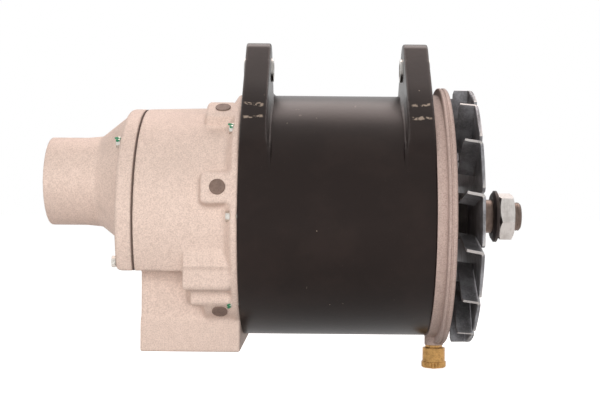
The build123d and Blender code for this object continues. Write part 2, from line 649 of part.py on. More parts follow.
KEY_R = 9.5
KEY_WIDTH = 5.0
KEY_X = SHOULDER_X - PULLEY_SEAT / 2
KEY_FORM = Rot(-90, 0, 0) * (Pos(KEY_X, 0, SEAT_R + 2) * Rot(90, 0, 0) * Cylinder(KEY_R, KEY_WIDTH)
            & block(SHOULDER_X - PULLEY_SEAT + 0.3, SHOULDER_X - 0.3, -KEY_WIDTH, KEY_WIDTH, 0, SEAT_R + 1.6))
KEY_TOOL = Rot(-90, 0, 0) * (Pos(KEY_X, 0, SEAT_R + 2) * Rot(90, 0, 0) * Cylinder(KEY_R + 0.02, KEY_WIDTH + 0.04)
            & block(SHOULDER_X - PULLEY_SEAT + 0.28, SHOULDER_X - 0.28, -KEY_WIDTH, KEY_WIDTH, 0, SEAT_R + 5))


def spacer_collar():
    """Collar between the drive-end bearing and the fan."""
    return pipe_x(FRONT_BEARING_X[1], FAN_BACK_X, SEAT_R + 5.5, SEAT_R + PRESS)


def fan():
    """Pressed steel fan: flat plate cut into petals, each with a radial blade folded back from its edge."""
    plate = pipe_x(FAN_BACK_X, FAN_FACE_X, FAN_R, SEAT_R + RUNNING)
    notch = section(FAN_BACK_X - 1, FAN_FACE_X + 1, near(BLADE_INNER_R, 0), near(FAN_R + 9, 0),
                    near(FAN_R + 9, FAN_NOTCH), near(BLADE_INNER_R, FAN_NOTCH))
    plate = cut_all(plate, around(notch, FAN_BLADES, -FAN_START))
    edge_x = FAN_BACK_X - BLADE_DEPTH
    shift = BLADE_DEPTH * math.tan(math.radians(BLADE_LEAN))
    profile = Plane.XZ.offset(BLADE_INNER_R) * make_face(Polyline(
        (FAN_FACE_X, -FAN_PLATE), (FAN_BACK_X, -FAN_PLATE), (edge_x, shift - FAN_PLATE), (edge_x, shift),
        (FAN_BACK_X, 0), (FAN_FACE_X, 0), close=True))
    trim = turned((edge_x - 1, 0), (edge_x - 1, FAN_R - BLADE_CHAMFER - 1),
                  (edge_x + BLADE_CHAMFER, FAN_R), (FAN_FACE_X, FAN_R), (FAN_FACE_X, 0))
    blade = extrude(profile, FAN_R - BLADE_INNER_R + 1) & trim
    return join_all(plate, around(blade, FAN_BLADES, -FAN_START))


def pulley_washer():
    """Heavy washer, bevelled on both faces."""
    x0, x1 = SHOULDER_X, WASHER_FACE_X
    return turned((x0, THREAD_R + 0.3), (x0, WASHER_R - 3), (x0 + 2, WASHER_R), (x1 - 1.5, WASHER_R),
                  (x1, WASHER_R - 3), (x1, THREAD_R + 0.3))


def shaft_nut():
    """Plated hexagon nut that clamps the pulley."""
    nut = hex_x(WASHER_FACE_X, NUT_FACE_X, NUT_ACROSS_FLATS, turn=NUT_TURN)
    return nut - rod_x(WASHER_FACE_X - 1, NUT_FACE_X + 1, THREAD_R + RUNNING)


def slip_ring_hub():
    """Moulded hub that carries both slip rings."""
    x0, x1 = SHAFT_REAR_X + 1.5, REAR_HUB_X[0] - 2
    hub = pipe_x(x0, x1, RING_HUB_R, REAR_BEARING[0] + PRESS)
    land = [pipe_x(x - RING_WIDTH / 2 - 1.5, x - RING_WIDTH / 2, RING_R - 1, RING_HUB_R - 0.5) for x in RING_X]
    return join_all(hub, land)


def slip_rings():
    """Two copper slip rings."""
    return [pipe_x(x - RING_WIDTH / 2, x + RING_WIDTH / 2, RING_R, RING_HUB_R + 0.01) for x in RING_X]


# ---------------------------------------------------------------- brush gear
def brush(i):
    """Carbon brush standing on its slip ring."""
    low = RING_R + SEAT_GAP
    stem = block(RING_X[i] - BRUSH[0] / 2, RING_X[i] + BRUSH[0] / 2, -BRUSH[1] / 2, BRUSH[1] / 2,
                 low - 0.4, low + BRUSH[2])
    return stem - rod_x(RING_X[i] - RING_WIDTH, RING_X[i] + RING_WIDTH, low)


BRUSH_TOP_Z = RING_R + SEAT_GAP + BRUSH[2]
HOLDER_TOP_Z = BRUSH_TOP_Z + SPRING_LEN + 0.4


def brush_spring(i):
    """Coil spring between a brush and the holder roof."""
    height = SPRING_LEN - 2 * SPRING_WIRE_R
    path = Helix(height / SPRING_TURNS, height, SPRING_R)
    wire = sweep(Plane(origin=path @ 0, z_dir=path % 0) * Circle(SPRING_WIRE_R), path, is_frenet=True)
    return Pos(RING_X[i], 0, BRUSH_TOP_Z + SPRING_WIRE_R + 0.1) * wire


def brush_holder():
    """Moulded brush box with a slot for each brush, screwed to the bearing web."""
    x0, x1 = RING_X[1] - RING_WIDTH / 2 - HOLDER_WALL, RING_X[0] + RING_WIDTH / 2 + 1
    z0, z1 = RING_R + HOLDER_LIFT, HOLDER_TOP_Z + HOLDER_WALL
    body = block(x0, x1, -BRUSH[1] / 2 - HOLDER_WALL, BRUSH[1] / 2 + HOLDER_WALL, z0, z1)
    foot = block(x1 - 1, FLANGE_REAR_X, -14, 14, REAR_BEARING[1] + 8, z1)
    body = body + foot
    for x in RING_X:
        body = body - block(x - BRUSH[0] / 2 - 0.15, x + BRUSH[0] / 2 + 0.15, -BRUSH[1] / 2 - 0.15,
                            BRUSH[1] / 2 + 0.15, z0 - 1, HOLDER_TOP_Z)
    return body


# ---------------------------------------------------------------- rectifier, regulator, terminals
SINK_X1 = SHAFT_REAR_X - SINK_BACK
SINKS = [(SINK_X1 - SINK_THICK, SINK_X1), (SINK_X1 - SINK_GAP - 2 * SINK_THICK, SINK_X1 - SINK_GAP - SINK_THICK)]


def heat_sink(i):
    """Half-ring rectifier plate with pressed-in diode seats."""
    x0, x1 = SINKS[i]
    plate = pipe_x(x0, x1, SINK_OUT_R, SINK_IN_R) & block(x0, x1, -SINK_OUT_R, SINK_OUT_R, 4, SINK_OUT_R)
    for a in DIODE_ANGLES[i]:
        plate = plate - rod_x(x0 - 1, x1 + 1, DIODE_R + PRESS, *polar(DIODE_CIRCLE_R, a))
    return cut_all(plate, [rod_x(x0 - 1, x1 + 1, POST_R + 1.6, *polar(POST_CIRCLE_R, a)) for a in POST_ANGLES])


DIODE_ANGLES = ((40, 80, 120), (60, 100, 140))


def diodes(i):
    """Press-fit diode cups with their solder stems."""
    x1 = SINKS[i][1]
    return [rod_x(x1 - DIODE_LEN + 3, x1 + 1, DIODE_R, *polar(DIODE_CIRCLE_R, a))
            + rod_x(x1, x1 + 5, 1.2, *polar(DIODE_CIRCLE_R, a)) for a in DIODE_ANGLES[i]]


def rectifier_posts():
    """Studs that carry both heat sinks from the bearing web."""
    low = SINKS[1][0] - 6
    return [rod_x(low, FLANGE_REAR_X, POST_R, *polar(POST_CIRCLE_R, a))
            + hex_x(low, low + 5, 11, *polar(POST_CIRCLE_R, a)) for a in POST_ANGLES]


def post_sleeves():
    """Insulating sleeves between the studs and the heat sinks."""
    low = SINKS[1][0] - 1
    return [rod_x(low, FLANGE_REAR_X, POST_R + 1.5, *polar(POST_CIRCLE_R, a))
            - rod_x(low - 1, FLANGE_REAR_X + 1, POST_R + PRESS, *polar(POST_CIRCLE_R, a))
            for a in POST_ANGLES]


def regulator():
    """Potted voltage regulator seated on the floor of the terminal block."""
    x0 = SEAM_X + BLOCK_REAR_SET + BLOCK_WALL + 3
    floor = BLOCK_Z + BLOCK_WALL
    body = block(x0, x0 + 46, -26, 26, floor, floor + 22)
    body = fillet(body.edges().filter_by(Axis.Z), 3)
    fins = [block(x0 + 6 + 8 * i, x0 + 9 + 8 * i, -22, 22, floor + 21, floor + 26) for i in range(5)]
    return join_all(body, fins)


def terminal_board():
    """Insulating board under the output studs."""
    x0, x1 = TERMINAL_MID_X - 27, TERMINAL_MID_X + 27
    board = block(x0, x1, BLOCK_FACE_Y, BLOCK_FACE_Y + BOARD, BLOCK_Z + 3, BLOCK_STEP_Z - 2)
    board = fillet(board.edges().filter_by(Axis.Y), 3)
    for x, radius in TERMINALS:
        board = board - Pos(x, BLOCK_FACE_Y, TERMINAL_Z) * Rot(90, 0, 0) * Cylinder(radius + STUD_SHANK + RUNNING, 30)
    return board


BOARD = 5.0
STUD_SHANK = 1.0        # how much thicker the stud is below the nut's outer face
STUD_TAPER = 4.5
STUD_BARE = 3.4         # bare thread, in stud radii


def along_y(y0, y1, r, x):
    """Round bar along Y at terminal height."""
    return Pos(x, (y0 + y1) / 2, TERMINAL_Z) * Rot(90, 0, 0) * Cylinder(r, y1 - y0)


def terminal_studs():
    """Threaded output studs, with heads inside the block wall."""
    inside = BLOCK_Y - BLOCK_WALL
    seat = BLOCK_FACE_Y + BOARD
    studs = []
    for x, r in TERMINALS:
        nut_face = seat + 1.6 * r
        taper = Pos(x, nut_face + STUD_TAPER / 2, TERMINAL_Z) * Rot(90, 0, 0) * Cone(r, r + STUD_SHANK, STUD_TAPER)
        bare_end = nut_face + STUD_TAPER + STUD_BARE * r
        studs.append(along_y(inside - 4, bare_end, r, x) + along_y(inside - 4, nut_face, r + STUD_SHANK, x)
                     + taper + along_y(inside - 4, inside - 0.1, r + 2 + STUD_SHANK, x))
    return studs


def terminal_nuts():
    """Nuts on the output studs."""
    nuts = []
    for x, r in TERMINALS:
        face = Plane(origin=(x, BLOCK_FACE_Y + BOARD, TERMINAL_Z), z_dir=(0, 1, 0)) * RegularPolygon(r * 1.6 + 2 * STUD_SHANK, 6)
        nuts.append(extrude(face, r * 1.6) - along_y(BLOCK_Y, BLOCK_Y + 40, r + STUD_SHANK + RUNNING, x))
    return nuts


# ---------------------------------------------------------------- grease cup
CUP_TOP_Z = OIL_BOSS_Z
NECK_Z = CUP_TOP_Z - CUP_NECK
CAP_TOP_Z = NECK_Z - 0.4
CAP_END_Z = CAP_TOP_Z - CAP_LEN - CAP_KNURL


def cup_body():
    """Brass grease-cup stem: hexagon neck and the thread the cap turns on."""
    neck = extrude(Plane.XY.offset(NECK_Z) * RegularPolygon(CUP_NECK_R, 6), CUP_NECK)
    stem = rod_z(NECK_Z, CUP_TOP_Z + 10, CUP_NECK_R - 2.1)
    thread = rod_z(NECK_Z - CUP_BODY, NECK_Z + 0.01, CUP_THREAD_R - 0.01)
    return Pos(CUP_X, 0, 0) * (neck + stem + thread - rod_z(NECK_Z - CUP_BODY - 1, CUP_TOP_Z + 11, 2.0))


def cup_cap():
    """Brass screw cap with a knurled foot."""
    body = rod_z(CAP_END_Z, CAP_TOP_Z, CAP_R) + rod_z(CAP_END_Z, CAP_END_Z + CAP_KNURL, CAP_KNURL_R)
    body = chamfer(body.edges().filter_by_position(Axis.Z, CAP_END_Z - 0.1, CAP_END_Z + 0.1), 0.8)
    groove = rod_z(CAP_END_Z - 1, CAP_END_Z + CAP_KNURL + 1, 0.45, CAP_KNURL_R + 0.1)
    body = body - Compound([Rot(0, 0, 360 * i / KNURLS) * groove for i in range(KNURLS)])
    body = body - rod_z(CAP_END_Z + CAP_WALL + 1, CAP_TOP_Z + 1, CUP_THREAD_R + RUNNING)
    return Pos(CUP_X, 0, 0) * (body - rod_z(CAP_END_Z - 1, CAP_TOP_Z, PIN_R + RUNNING))


def cup_plunger():
    """Follower disc and its pin, which shows through the cap."""
    floor = CAP_END_Z + CAP_WALL + 1
    return Pos(CUP_X, 0, 0) * (rod_z(CAP_END_Z - PIN_PROUD, floor + 0.1, PIN_R)
                               + rod_z(floor + 0.1, floor + 1.2, CUP_THREAD_R - 0.6))


def write(name, shape):
    """Writes one node's solids, moved into the shared frame, as a STEP file."""
    solids = shape if isinstance(shape, list) else [shape]
    solids = [s for item in solids for s in item.solids()]
    solids = [Pos(0, 0, -PIVOT_Z) * s for s in solids]
    export_step(Compound(children=solids) if len(solids) > 1 else solids[0], f"parts/{name}.step")


def main():
    os.makedirs("parts", exist_ok=True)
    front = ball_row(FRONT_BEARING, FRONT_BEARING_X, 8)
    rear = ball_row(REAR_BEARING, REAR_BEARING_X, 9)
    nodes = {
        "yoke": yoke(),
        "rear_lug_bush": lug_bush(LUG_X[0]), "front_lug_bush": lug_bush(LUG_X[1]),
        "stator_core": stator_core(), "stator_winding": stator_winding(),
        "drive_end_bracket": drive_bracket(), "bracket_screws": bracket_screws(),
        "bearing_retainer": bearing_retainer(), "retainer_screws": retainer_screws(),
        "front_bearing_inner_race": front[0], "front_bearing_outer_race": front[1],
        "front_bearing_balls": front[2], "front_bearing_cage": front[3],
        "rear_bearing_inner_race": rear[0], "rear_bearing_outer_race": rear[1],
        "rear_bearing_balls": rear[2], "rear_bearing_cage": rear[3],
        "rear_housing": rear_housing(), "housing_screws": housing_screws(), "vent_gauze": vent_gauze(),
        "end_cover": end_cover(), "cover_gasket": cover_gasket(), "cover_screws": cover_screws(),
        "rotor_shaft": rotor_shaft(), "shaft_key": KEY_FORM, "spacer_collar": spacer_collar(),
        "rear_claw_pole": claw_pole(POLE_BACK, 1, 0), "front_claw_pole": claw_pole(POLE_FRONT, -1, 22.5),
        "field_coil": field_coil(), "slip_ring_hub": slip_ring_hub(), "slip_rings": slip_rings(),
        "fan": fan(), "pulley_washer": pulley_washer(), "shaft_nut": shaft_nut(),
        "brush_holder": brush_holder(), "front_brush": brush(0), "rear_brush": brush(1),
        "front_brush_spring": brush_spring(0), "rear_brush_spring": brush_spring(1),
        "positive_heat_sink": heat_sink(0), "negative_heat_sink": heat_sink(1),
        "positive_diodes": diodes(0), "negative_diodes": diodes(1),
        "rectifier_posts": rectifier_posts(), "post_sleeves": post_sleeves(), "regulator": regulator(),
        "terminal_board": terminal_board(), "terminal_studs": terminal_studs(), "terminal_nuts": terminal_nuts(),
        "grease_cup_body": cup_body(), "grease_cup_cap": cup_cap(), "grease_cup_plunger": cup_plunger(),
    }
    for name, shape in nodes.items():
        write(name, shape)


main()
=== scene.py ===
"""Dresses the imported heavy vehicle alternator: finishes, fine geometry, studio and camera.

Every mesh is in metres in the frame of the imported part: the origin lies on the hinge pivot, +X runs
along the shaft to the drive end and +Z points up. The classes hold their sizes in millimetres, with
radii and (y, z) points taken about the shaft, and these become metres where a mesh is built.
"""

import json
import logging
import math
from dataclasses import dataclass, field
from enum import Enum

import bmesh
import bpy
from mathutils import Matrix, Vector

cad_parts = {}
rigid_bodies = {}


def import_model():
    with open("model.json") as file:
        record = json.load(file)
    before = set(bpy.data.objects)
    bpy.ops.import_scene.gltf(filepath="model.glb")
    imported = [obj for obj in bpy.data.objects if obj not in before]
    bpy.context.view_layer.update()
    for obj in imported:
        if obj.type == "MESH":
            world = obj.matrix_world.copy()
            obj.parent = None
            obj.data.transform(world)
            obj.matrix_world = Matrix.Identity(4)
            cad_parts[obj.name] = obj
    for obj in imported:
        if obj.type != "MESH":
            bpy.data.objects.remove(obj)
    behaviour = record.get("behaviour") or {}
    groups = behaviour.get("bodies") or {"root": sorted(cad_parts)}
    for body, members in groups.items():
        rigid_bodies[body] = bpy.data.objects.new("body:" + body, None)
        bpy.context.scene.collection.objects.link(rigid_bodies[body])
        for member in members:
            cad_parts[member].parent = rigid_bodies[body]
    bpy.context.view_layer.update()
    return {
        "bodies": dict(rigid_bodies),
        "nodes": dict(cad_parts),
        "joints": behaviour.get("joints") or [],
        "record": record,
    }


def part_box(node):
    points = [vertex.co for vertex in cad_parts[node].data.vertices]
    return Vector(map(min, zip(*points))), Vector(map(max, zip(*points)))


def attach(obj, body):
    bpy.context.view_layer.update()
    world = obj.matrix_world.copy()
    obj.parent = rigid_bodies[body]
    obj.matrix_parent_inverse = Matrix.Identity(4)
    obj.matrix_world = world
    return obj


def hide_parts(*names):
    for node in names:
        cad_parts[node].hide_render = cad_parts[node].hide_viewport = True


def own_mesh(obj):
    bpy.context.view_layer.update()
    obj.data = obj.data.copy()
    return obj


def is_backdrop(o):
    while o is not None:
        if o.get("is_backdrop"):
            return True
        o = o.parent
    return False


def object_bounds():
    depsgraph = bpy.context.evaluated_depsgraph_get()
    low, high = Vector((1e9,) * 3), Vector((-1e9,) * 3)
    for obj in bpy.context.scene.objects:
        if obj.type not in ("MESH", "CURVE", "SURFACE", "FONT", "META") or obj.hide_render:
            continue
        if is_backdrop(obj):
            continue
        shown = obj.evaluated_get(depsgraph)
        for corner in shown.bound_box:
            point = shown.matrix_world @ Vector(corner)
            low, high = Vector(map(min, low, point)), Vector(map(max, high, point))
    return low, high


LOG = logging.getLogger("alternator")
MM = 0.001
# Corners closer than these, in metres, become one: in a copied mesh, and along a turned shape's seam.
WELD = 1e-6
SEAM = 1e-7
# Where the rear housing's six square pads stand, in degrees round the shaft.
PAD_ANGLES = (13.0, 60.0, -49.5, 167.0, 120.0, 229.5)

Rgb = tuple[float, float, float]
Point = tuple[float, float, float]
Flat = tuple[float, float]
Band = tuple[float, float]


class Axis(Enum):
    """Axes that copies are spread around, by the number of their coordinate."""

    SHAFT = 0
    UPRIGHT = 2


def in_metres(*lengths_mm: float) -> tuple[float, ...]:
    """Millimetres as metres."""
    return tuple(length * MM for length in lengths_mm)


# ---------------------------------------------------------------- node trees
class Signal:
    """A node's output that takes part in Python arithmetic."""

    def __init__(self, nodes: "NodeTree", socket: bpy.types.NodeSocket) -> None:
        """Wraps an output socket of a tree."""
        self.nodes = nodes
        self.socket = socket

    def __add__(self, other: "Signal | float") -> "Signal":
        """Sum."""
        return self.nodes.maths("ADD", self, other)

    def __radd__(self, other: float) -> "Signal":
        """Sum with a number on the left."""
        return self.nodes.maths("ADD", other, self)

    def __sub__(self, other: "Signal | float") -> "Signal":
        """Difference."""
        return self.nodes.maths("SUBTRACT", self, other)

    def __rsub__(self, other: float) -> "Signal":
        """Difference with a number on the left."""
        return self.nodes.maths("SUBTRACT", other, self)

    def __mul__(self, other: "Signal | float") -> "Signal":
        """Product."""
        return self.nodes.maths("MULTIPLY", self, other)

    def __rmul__(self, other: float) -> "Signal":
        """Product with a number on the left."""
        return self.nodes.maths("MULTIPLY", other, self)

    def __rtruediv__(self, other: float) -> "Signal":
        """Quotient with a number on the left."""
        return self.nodes.maths("DIVIDE", other, self)

    def __abs__(self) -> "Signal":
        """Size without its sign."""
        return self.nodes.maths("ABSOLUTE", self)


class NodeTree:
    """A node tree whose nodes all come from one method."""

    def __init__(self, tree: bpy.types.NodeTree) -> None:
        """Takes the tree that the nodes go into."""
        self.tree = tree

    def node(self, kind: str, settings: dict | None = None, inputs: dict | None = None) -> bpy.types.Node:
        """Adds a node.

        Args:
            kind: the node's type name.
            settings: properties to set first.
            inputs: signals or plain values, by the socket's name or index.

        Returns:
            The new node.
        """
        node = self.tree.nodes.new(kind)
        for key, value in (settings or {}).items():
            setattr(node, key, value)
        for key, value in (inputs or {}).items():
            self.feed(node.inputs[key], value)
        return node

    def feed(self, socket: bpy.types.NodeSocket, value: object) -> None:
        """Links a signal to an input, or writes a plain value into it.

        Args:
            socket: the input.
            value: a signal, or what the socket holds; a colour may leave out its alpha.
        """
        if isinstance(value, Signal):
            self.tree.links.new(value.socket, socket)
        elif socket.type == "RGBA":
            socket.default_value = (*value[:3], 1.0)
        else:
            socket.default_value = value

    def first(self, kind: str, settings: dict | None = None, inputs: dict | None = None) -> Signal:
        """Adds a node and gives its first output."""
        return Signal(self, self.node(kind, settings, inputs).outputs[0])

    def maths(self, operation: str, left: "Signal | float", right: "Signal | float" = 0.0) -> Signal:
        """One Math node's result."""
        return self.first("ShaderNodeMath", {"operation": operation}, {0: left, 1: right})


@dataclass(frozen=True)
class Grain:
    """Fractal noise: the size of its largest features, its octaves and how strong its small features are."""

    size_mm: float
    detail: float = 3.0
    rough: float = 0.6


class Shader(NodeTree):
    """The nodes of one material or world, written as expressions."""

    def __init__(self, owner: bpy.types.Material | bpy.types.World) -> None:
        """Clears the nodes of a new material or world.

        Args:
            owner: the material or world.
        """
        owner.use_nodes = True
        super().__init__(owner.node_tree)
        self.owner = owner
        self.tree.nodes.clear()
        self._place: Signal | None = None

    @classmethod
    def material(cls, name: str) -> "Shader":
        """The nodes of a new material."""
        return cls(bpy.data.materials.new(name))

    def place(self) -> Signal:
        """Object coordinates, in metres, from one node that the whole material shares.

        Returns:
            The coordinates.
        """
        if self._place is None:
            self._place = Signal(self, self.node("ShaderNodeTexCoord").outputs["Object"])
        return self._place

    def along(self, index: int) -> Signal:
        """One of the object coordinates."""
        return Signal(self, self.node("ShaderNodeSeparateXYZ", None, {0: self.place()}).outputs[index])

    def mapped(self, scale: Point, turn: Point = (0.0, 0.0, 0.0)) -> Signal:
        """Object coordinates, stretched and turned by Euler angles in radians."""
        inputs = {"Vector": self.place(), "Rotation": turn, "Scale": scale}
        return self.first("ShaderNodeMapping", None, inputs)

    def noise(self, grain: Grain, at: Signal | None = None) -> Signal:
        """Fractal noise from 0 to 1.

        Args:
            grain: its size and character.
            at: coordinates, or None for object coordinates.

        Returns:
            The noise value.
        """
        inputs = {"Vector": at or self.place(), "Scale": 1.0 / (grain.size_mm * MM), "Detail": grain.detail,
                  "Roughness": grain.rough}
        return self.first("ShaderNodeTexNoise", None, inputs)

    def cells(self, size_mm: float) -> Signal:
        """Distance to the nearest of scattered points, in cell sizes."""
        inputs = {"Vector": self.place(), "Scale": 1.0 / (size_mm * MM)}
        return Signal(self, self.node("ShaderNodeTexVoronoi", None, inputs).outputs["Distance"])

    def mixed(self, shares: tuple[float, ...], *signals: Signal) -> Signal:
        """Sum of signals, each times its share.

        Args:
            shares: the share of each signal.
            signals: the signals.

        Returns:
            The sum.
        """
        total = signals[0] * shares[0]
        for signal, share in zip(signals[1:], shares[1:]):
            total = total + signal * share
        return total

    def step(self, value: Signal, band: Band) -> Signal:
        """Smooth step of a value across a band."""
        inputs = {"Value": value, "From Min": band[0], "From Max": band[1]}
        return self.first("ShaderNodeMapRange", {"interpolation_type": "SMOOTHSTEP"}, inputs)

    def blend(self, mask: "Signal | float", low: "Signal | Rgb", high: "Signal | Rgb") -> Signal:
        """Colour low where the mask is 0, and high where it is 1."""
        node = self.node("ShaderNodeMix", {"data_type": "RGBA"}, {0: mask, 6: low, 7: high})
        return Signal(self, node.outputs[2])

    def bump(self, height: Signal, depth_mm: float, edge_mm: float = 0.0) -> Signal:
        """A normal from a height of 0 to 1.

        Args:
            height: the relief.
            depth_mm: how deep a height of 1 is.
            edge_mm: the radius that sharp edges appear rounded to.

        Returns:
            The normal.
        """
        inputs: dict = {"Height": height, "Distance": depth_mm * MM, "Strength": 1.0}
        if edge_mm > 0:
            inputs["Normal"] = self.first("ShaderNodeBevel", {"samples": 4}, {"Radius": edge_mm * MM})
        return self.first("ShaderNodeBump", None, inputs)

    def close(self, result: Signal, kind: str = "ShaderNodeOutputMaterial") -> None:
        """Leads the finished shader into the output."""
        self.node(kind, None, {"Surface": result})

    def surface(self, **inputs: "Signal | float | tuple") -> bpy.types.Material:
        """Closes the material with a Principled BSDF.

        Args:
            inputs: its sockets, with underscores for spaces.

        Returns:
            The finished material.
        """
        named = {key.replace("_", " "): value for key, value in inputs.items()}
        self.close(self.first("ShaderNodeBsdfPrincipled", None, named))
        return self.owner


# ---------------------------------------------------------------- finishes
@dataclass(frozen=True)
class CastAluminium:
    """Sand-cast and blasted aluminium: pale, warm, grainy and almost dull."""

    name: str = "cast_aluminium"
    pale: Rgb = (0.80, 0.635, 0.545)
    shade: Rgb = (0.60, 0.455, 0.385)
    stain: Rgb = (0.52, 0.40, 0.34)
    pit: Rgb = (0.22, 0.165, 0.14)
    grain: Grain = Grain(1.05, rough=0.7)
    skin: Grain = Grain(4.2)
    stains: Grain = Grain(34.0, rough=0.55)
    pit_mm: float = 2.6
    pale_shares: Flat = (0.78, 0.22)
    relief_shares: Point = (0.7, 0.4, -0.5)
    relief_mm: float = 0.16
    edge_mm: float = 1.1
    pale_band: Band = (0.33, 0.64)
    stain_band: Band = (0.50, 0.75)
    pit_band: Band = (0.08, 0.22)
    pitted_band: Band = (0.52, 0.64)
    stain_share: float = 0.30
    pit_share: float = 0.45
    roughness: float = 0.50
    grain_roughness: float = 0.14
    metallic: float = 0.12
    gloss: float = 0.4

    def make(self) -> bpy.types.Material:
        """Builds the material.

        Returns:
            The material.
        """
        s = Shader.material(self.name)
        grain, skin, stains = s.noise(self.grain), s.noise(self.skin), s.noise(self.stains)
        pits = (1 - s.step(s.cells(self.pit_mm), self.pit_band)) * s.step(skin, self.pitted_band)
        pale = s.step(s.mixed(self.pale_shares, grain, skin), self.pale_band)
        colour = s.blend(pale, self.shade, self.pale)
        colour = s.blend(s.step(stains, self.stain_band) * self.stain_share, colour, self.stain)
        colour = s.blend(pits * self.pit_share, colour, self.pit)
        relief = s.mixed(self.relief_shares, grain, skin, pits)
        return s.surface(Base_Color=colour, Metallic=self.metallic, Specular_IOR_Level=self.gloss,
                         Normal=s.bump(relief, self.relief_mm, self.edge_mm),
                         Roughness=self.roughness + grain * self.grain_roughness)


@dataclass(frozen=True)
class YokePaint:
    """Thick black paint over a rolled steel yoke, rubbed to brown and bare metal in places, with painted
    highlights in bare-metal colour along the lug ridges.
    """

    black: Rgb = (0.0050, 0.0026, 0.0022)
    brown: Rgb = (0.0125, 0.0075, 0.0062)
    sheen: Rgb = (1.0, 0.84, 0.79)
    speck: Rgb = (0.30, 0.24, 0.21)
    # bare: colour of bare metal on scratches and chips, and also of the painted highlights along the lug
    # ridges.
    bare: Rgb = (0.42, 0.33, 0.26)
    roughness: float = 0.25
    gloss: float = 0.31
    relief_mm: float = 0.06
    edge_mm: float = 1.0
    cloud_roughness: float = 0.08
    fine_roughness: float = 0.09
    cloud: Grain = Grain(40.0, 4.0)
    fine: Grain = Grain(1.2)
    peel: Grain = Grain(3.6, 2.0, 0.45)
    relief_shares: tuple[float, ...] = (0.7, 0.35, -0.5, 0.25)
    brown_band: Band = (0.42, 0.72)
    brown_share: float = 0.7
    speck_mm: float = 3.4
    speck_band: Band = (0.045, 0.085)
    speck_patches: Grain = Grain(24.0, 2.0, 0.5)
    speck_patch_band: Band = (0.44, 0.60)
    speck_share: float = 0.10
    scratch: Grain = Grain(5.5, 1.0, 0.4)
    scratch_stretch: Point = (1.0, 1.0, 0.05)
    scratch_turn: Point = (0.12, 0.0, 0.0)
    scratch_band: Band = (0.775, 0.79)
    scratch_share: float = 0.12
    chip_mm: float = 15.0
    chip_band: Band = (0.022, 0.034)
    chip_patches: Grain = Grain(19.0, 2.0, 0.5)
    chip_patch_band: Band = (0.50, 0.60)
    chip_share: float = 0.8
    ridge_levels: Flat = (-34.5, -45.5)
    ridge_band: Band = (0.5, 1.4)
    ridge_share: float = 0.75
    waver: Grain = Grain(9.0, 2.0, 0.5)
    waver_rise: float = 6.0
    lug_span: Band = (58.5, 75.5)
    lug_fade: float = 2.0
    near_band: Band = (-60.0, -50.0)
    # Noise that breaks the painted ridge highlights into patches.
    highlight_patches: Grain = Grain(2.2, 2.0)
    highlight_patch_band: Band = (0.40, 0.56)

    def ridge_highlight(self, s: Shader) -> Signal:
        """Mask of two lines along the casting ridges across each lug, on the near side: painted highlights in
        the colour of bare metal.

        Args:
            s: the material being built.

        Returns:
            1 on the painted ridge highlights.
        """
        x, y, z = (s.along(index) for index in range(3))
        low, high = self.lug_span
        waver = (s.noise(self.waver) - 0.5) * (self.waver_rise * MM)
        inside = s.step(abs(x), in_metres(low, low + self.lug_fade))
        inside = inside * (1 - s.step(abs(x), in_metres(high - self.lug_fade, high)))
        near = 1 - s.step(y, in_metres(*self.near_band))
        ridge = in_metres(*self.ridge_band)
        lines = [1 - s.step(abs(z - level * MM + waver), ridge) for level in self.ridge_levels]
        return s.maths("MAXIMUM", *lines) * inside * near * s.step(s.noise(self.highlight_patches), self.highlight_patch_band)

    def wear_and_highlight(self, s: Shader) -> Signal:
        """Mask of the scratches and chips that show bare metal, and of the painted highlights on the lug
        ridges.

        Args:
            s: the material being built.

        Returns:
            1 on bare metal and on the painted ridge highlights.
        """
        scratch = s.noise(self.scratch, s.mapped(self.scratch_stretch, self.scratch_turn))
        lines = s.step(scratch, self.scratch_band) * self.scratch_share
        patches = s.step(s.noise(self.chip_patches), self.chip_patch_band)
        chips = (1 - s.step(s.cells(self.chip_mm), self.chip_band)) * patches
        # The ridge term adds painted highlights, in bare-metal colour, to the real scratches and chips.
        bare = lines + chips * self.chip_share + self.ridge_highlight(s) * self.ridge_share
        return s.maths("MINIMUM", bare, 1.0)

    def make(self) -> bpy.types.Material:
        """Builds the material.

        Returns:
            The material.
        """
        s = Shader.material("yoke_paint")
        cloud, fine, peel = s.noise(self.cloud), s.noise(self.fine), s.noise(self.peel)
        patches = s.step(s.noise(self.speck_patches), self.speck_patch_band)
        specks = (1 - s.step(s.cells(self.speck_mm), self.speck_band)) * patches
        wear_and_highlight = self.wear_and_highlight(s)
        colour = s.blend(s.step(cloud, self.brown_band) * self.brown_share, self.black, self.brown)
        colour = s.blend(specks * self.speck_share, colour, self.speck)
        # Bare metal on scratches and chips, and painted highlights on the lug ridges.
        colour = s.blend(wear_and_highlight, colour, self.bare)
        relief = s.mixed(self.relief_shares, peel, fine, wear_and_highlight, specks)
        rough = self.roughness + fine * self.fine_roughness + cloud * self.cloud_roughness
        return s.surface(Base_Color=colour, Metallic=0.0, Roughness=rough,
                         Normal=s.bump(relief, self.relief_mm, self.edge_mm),
                         Specular_IOR_Level=self.gloss, Specular_Tint=self.sheen)


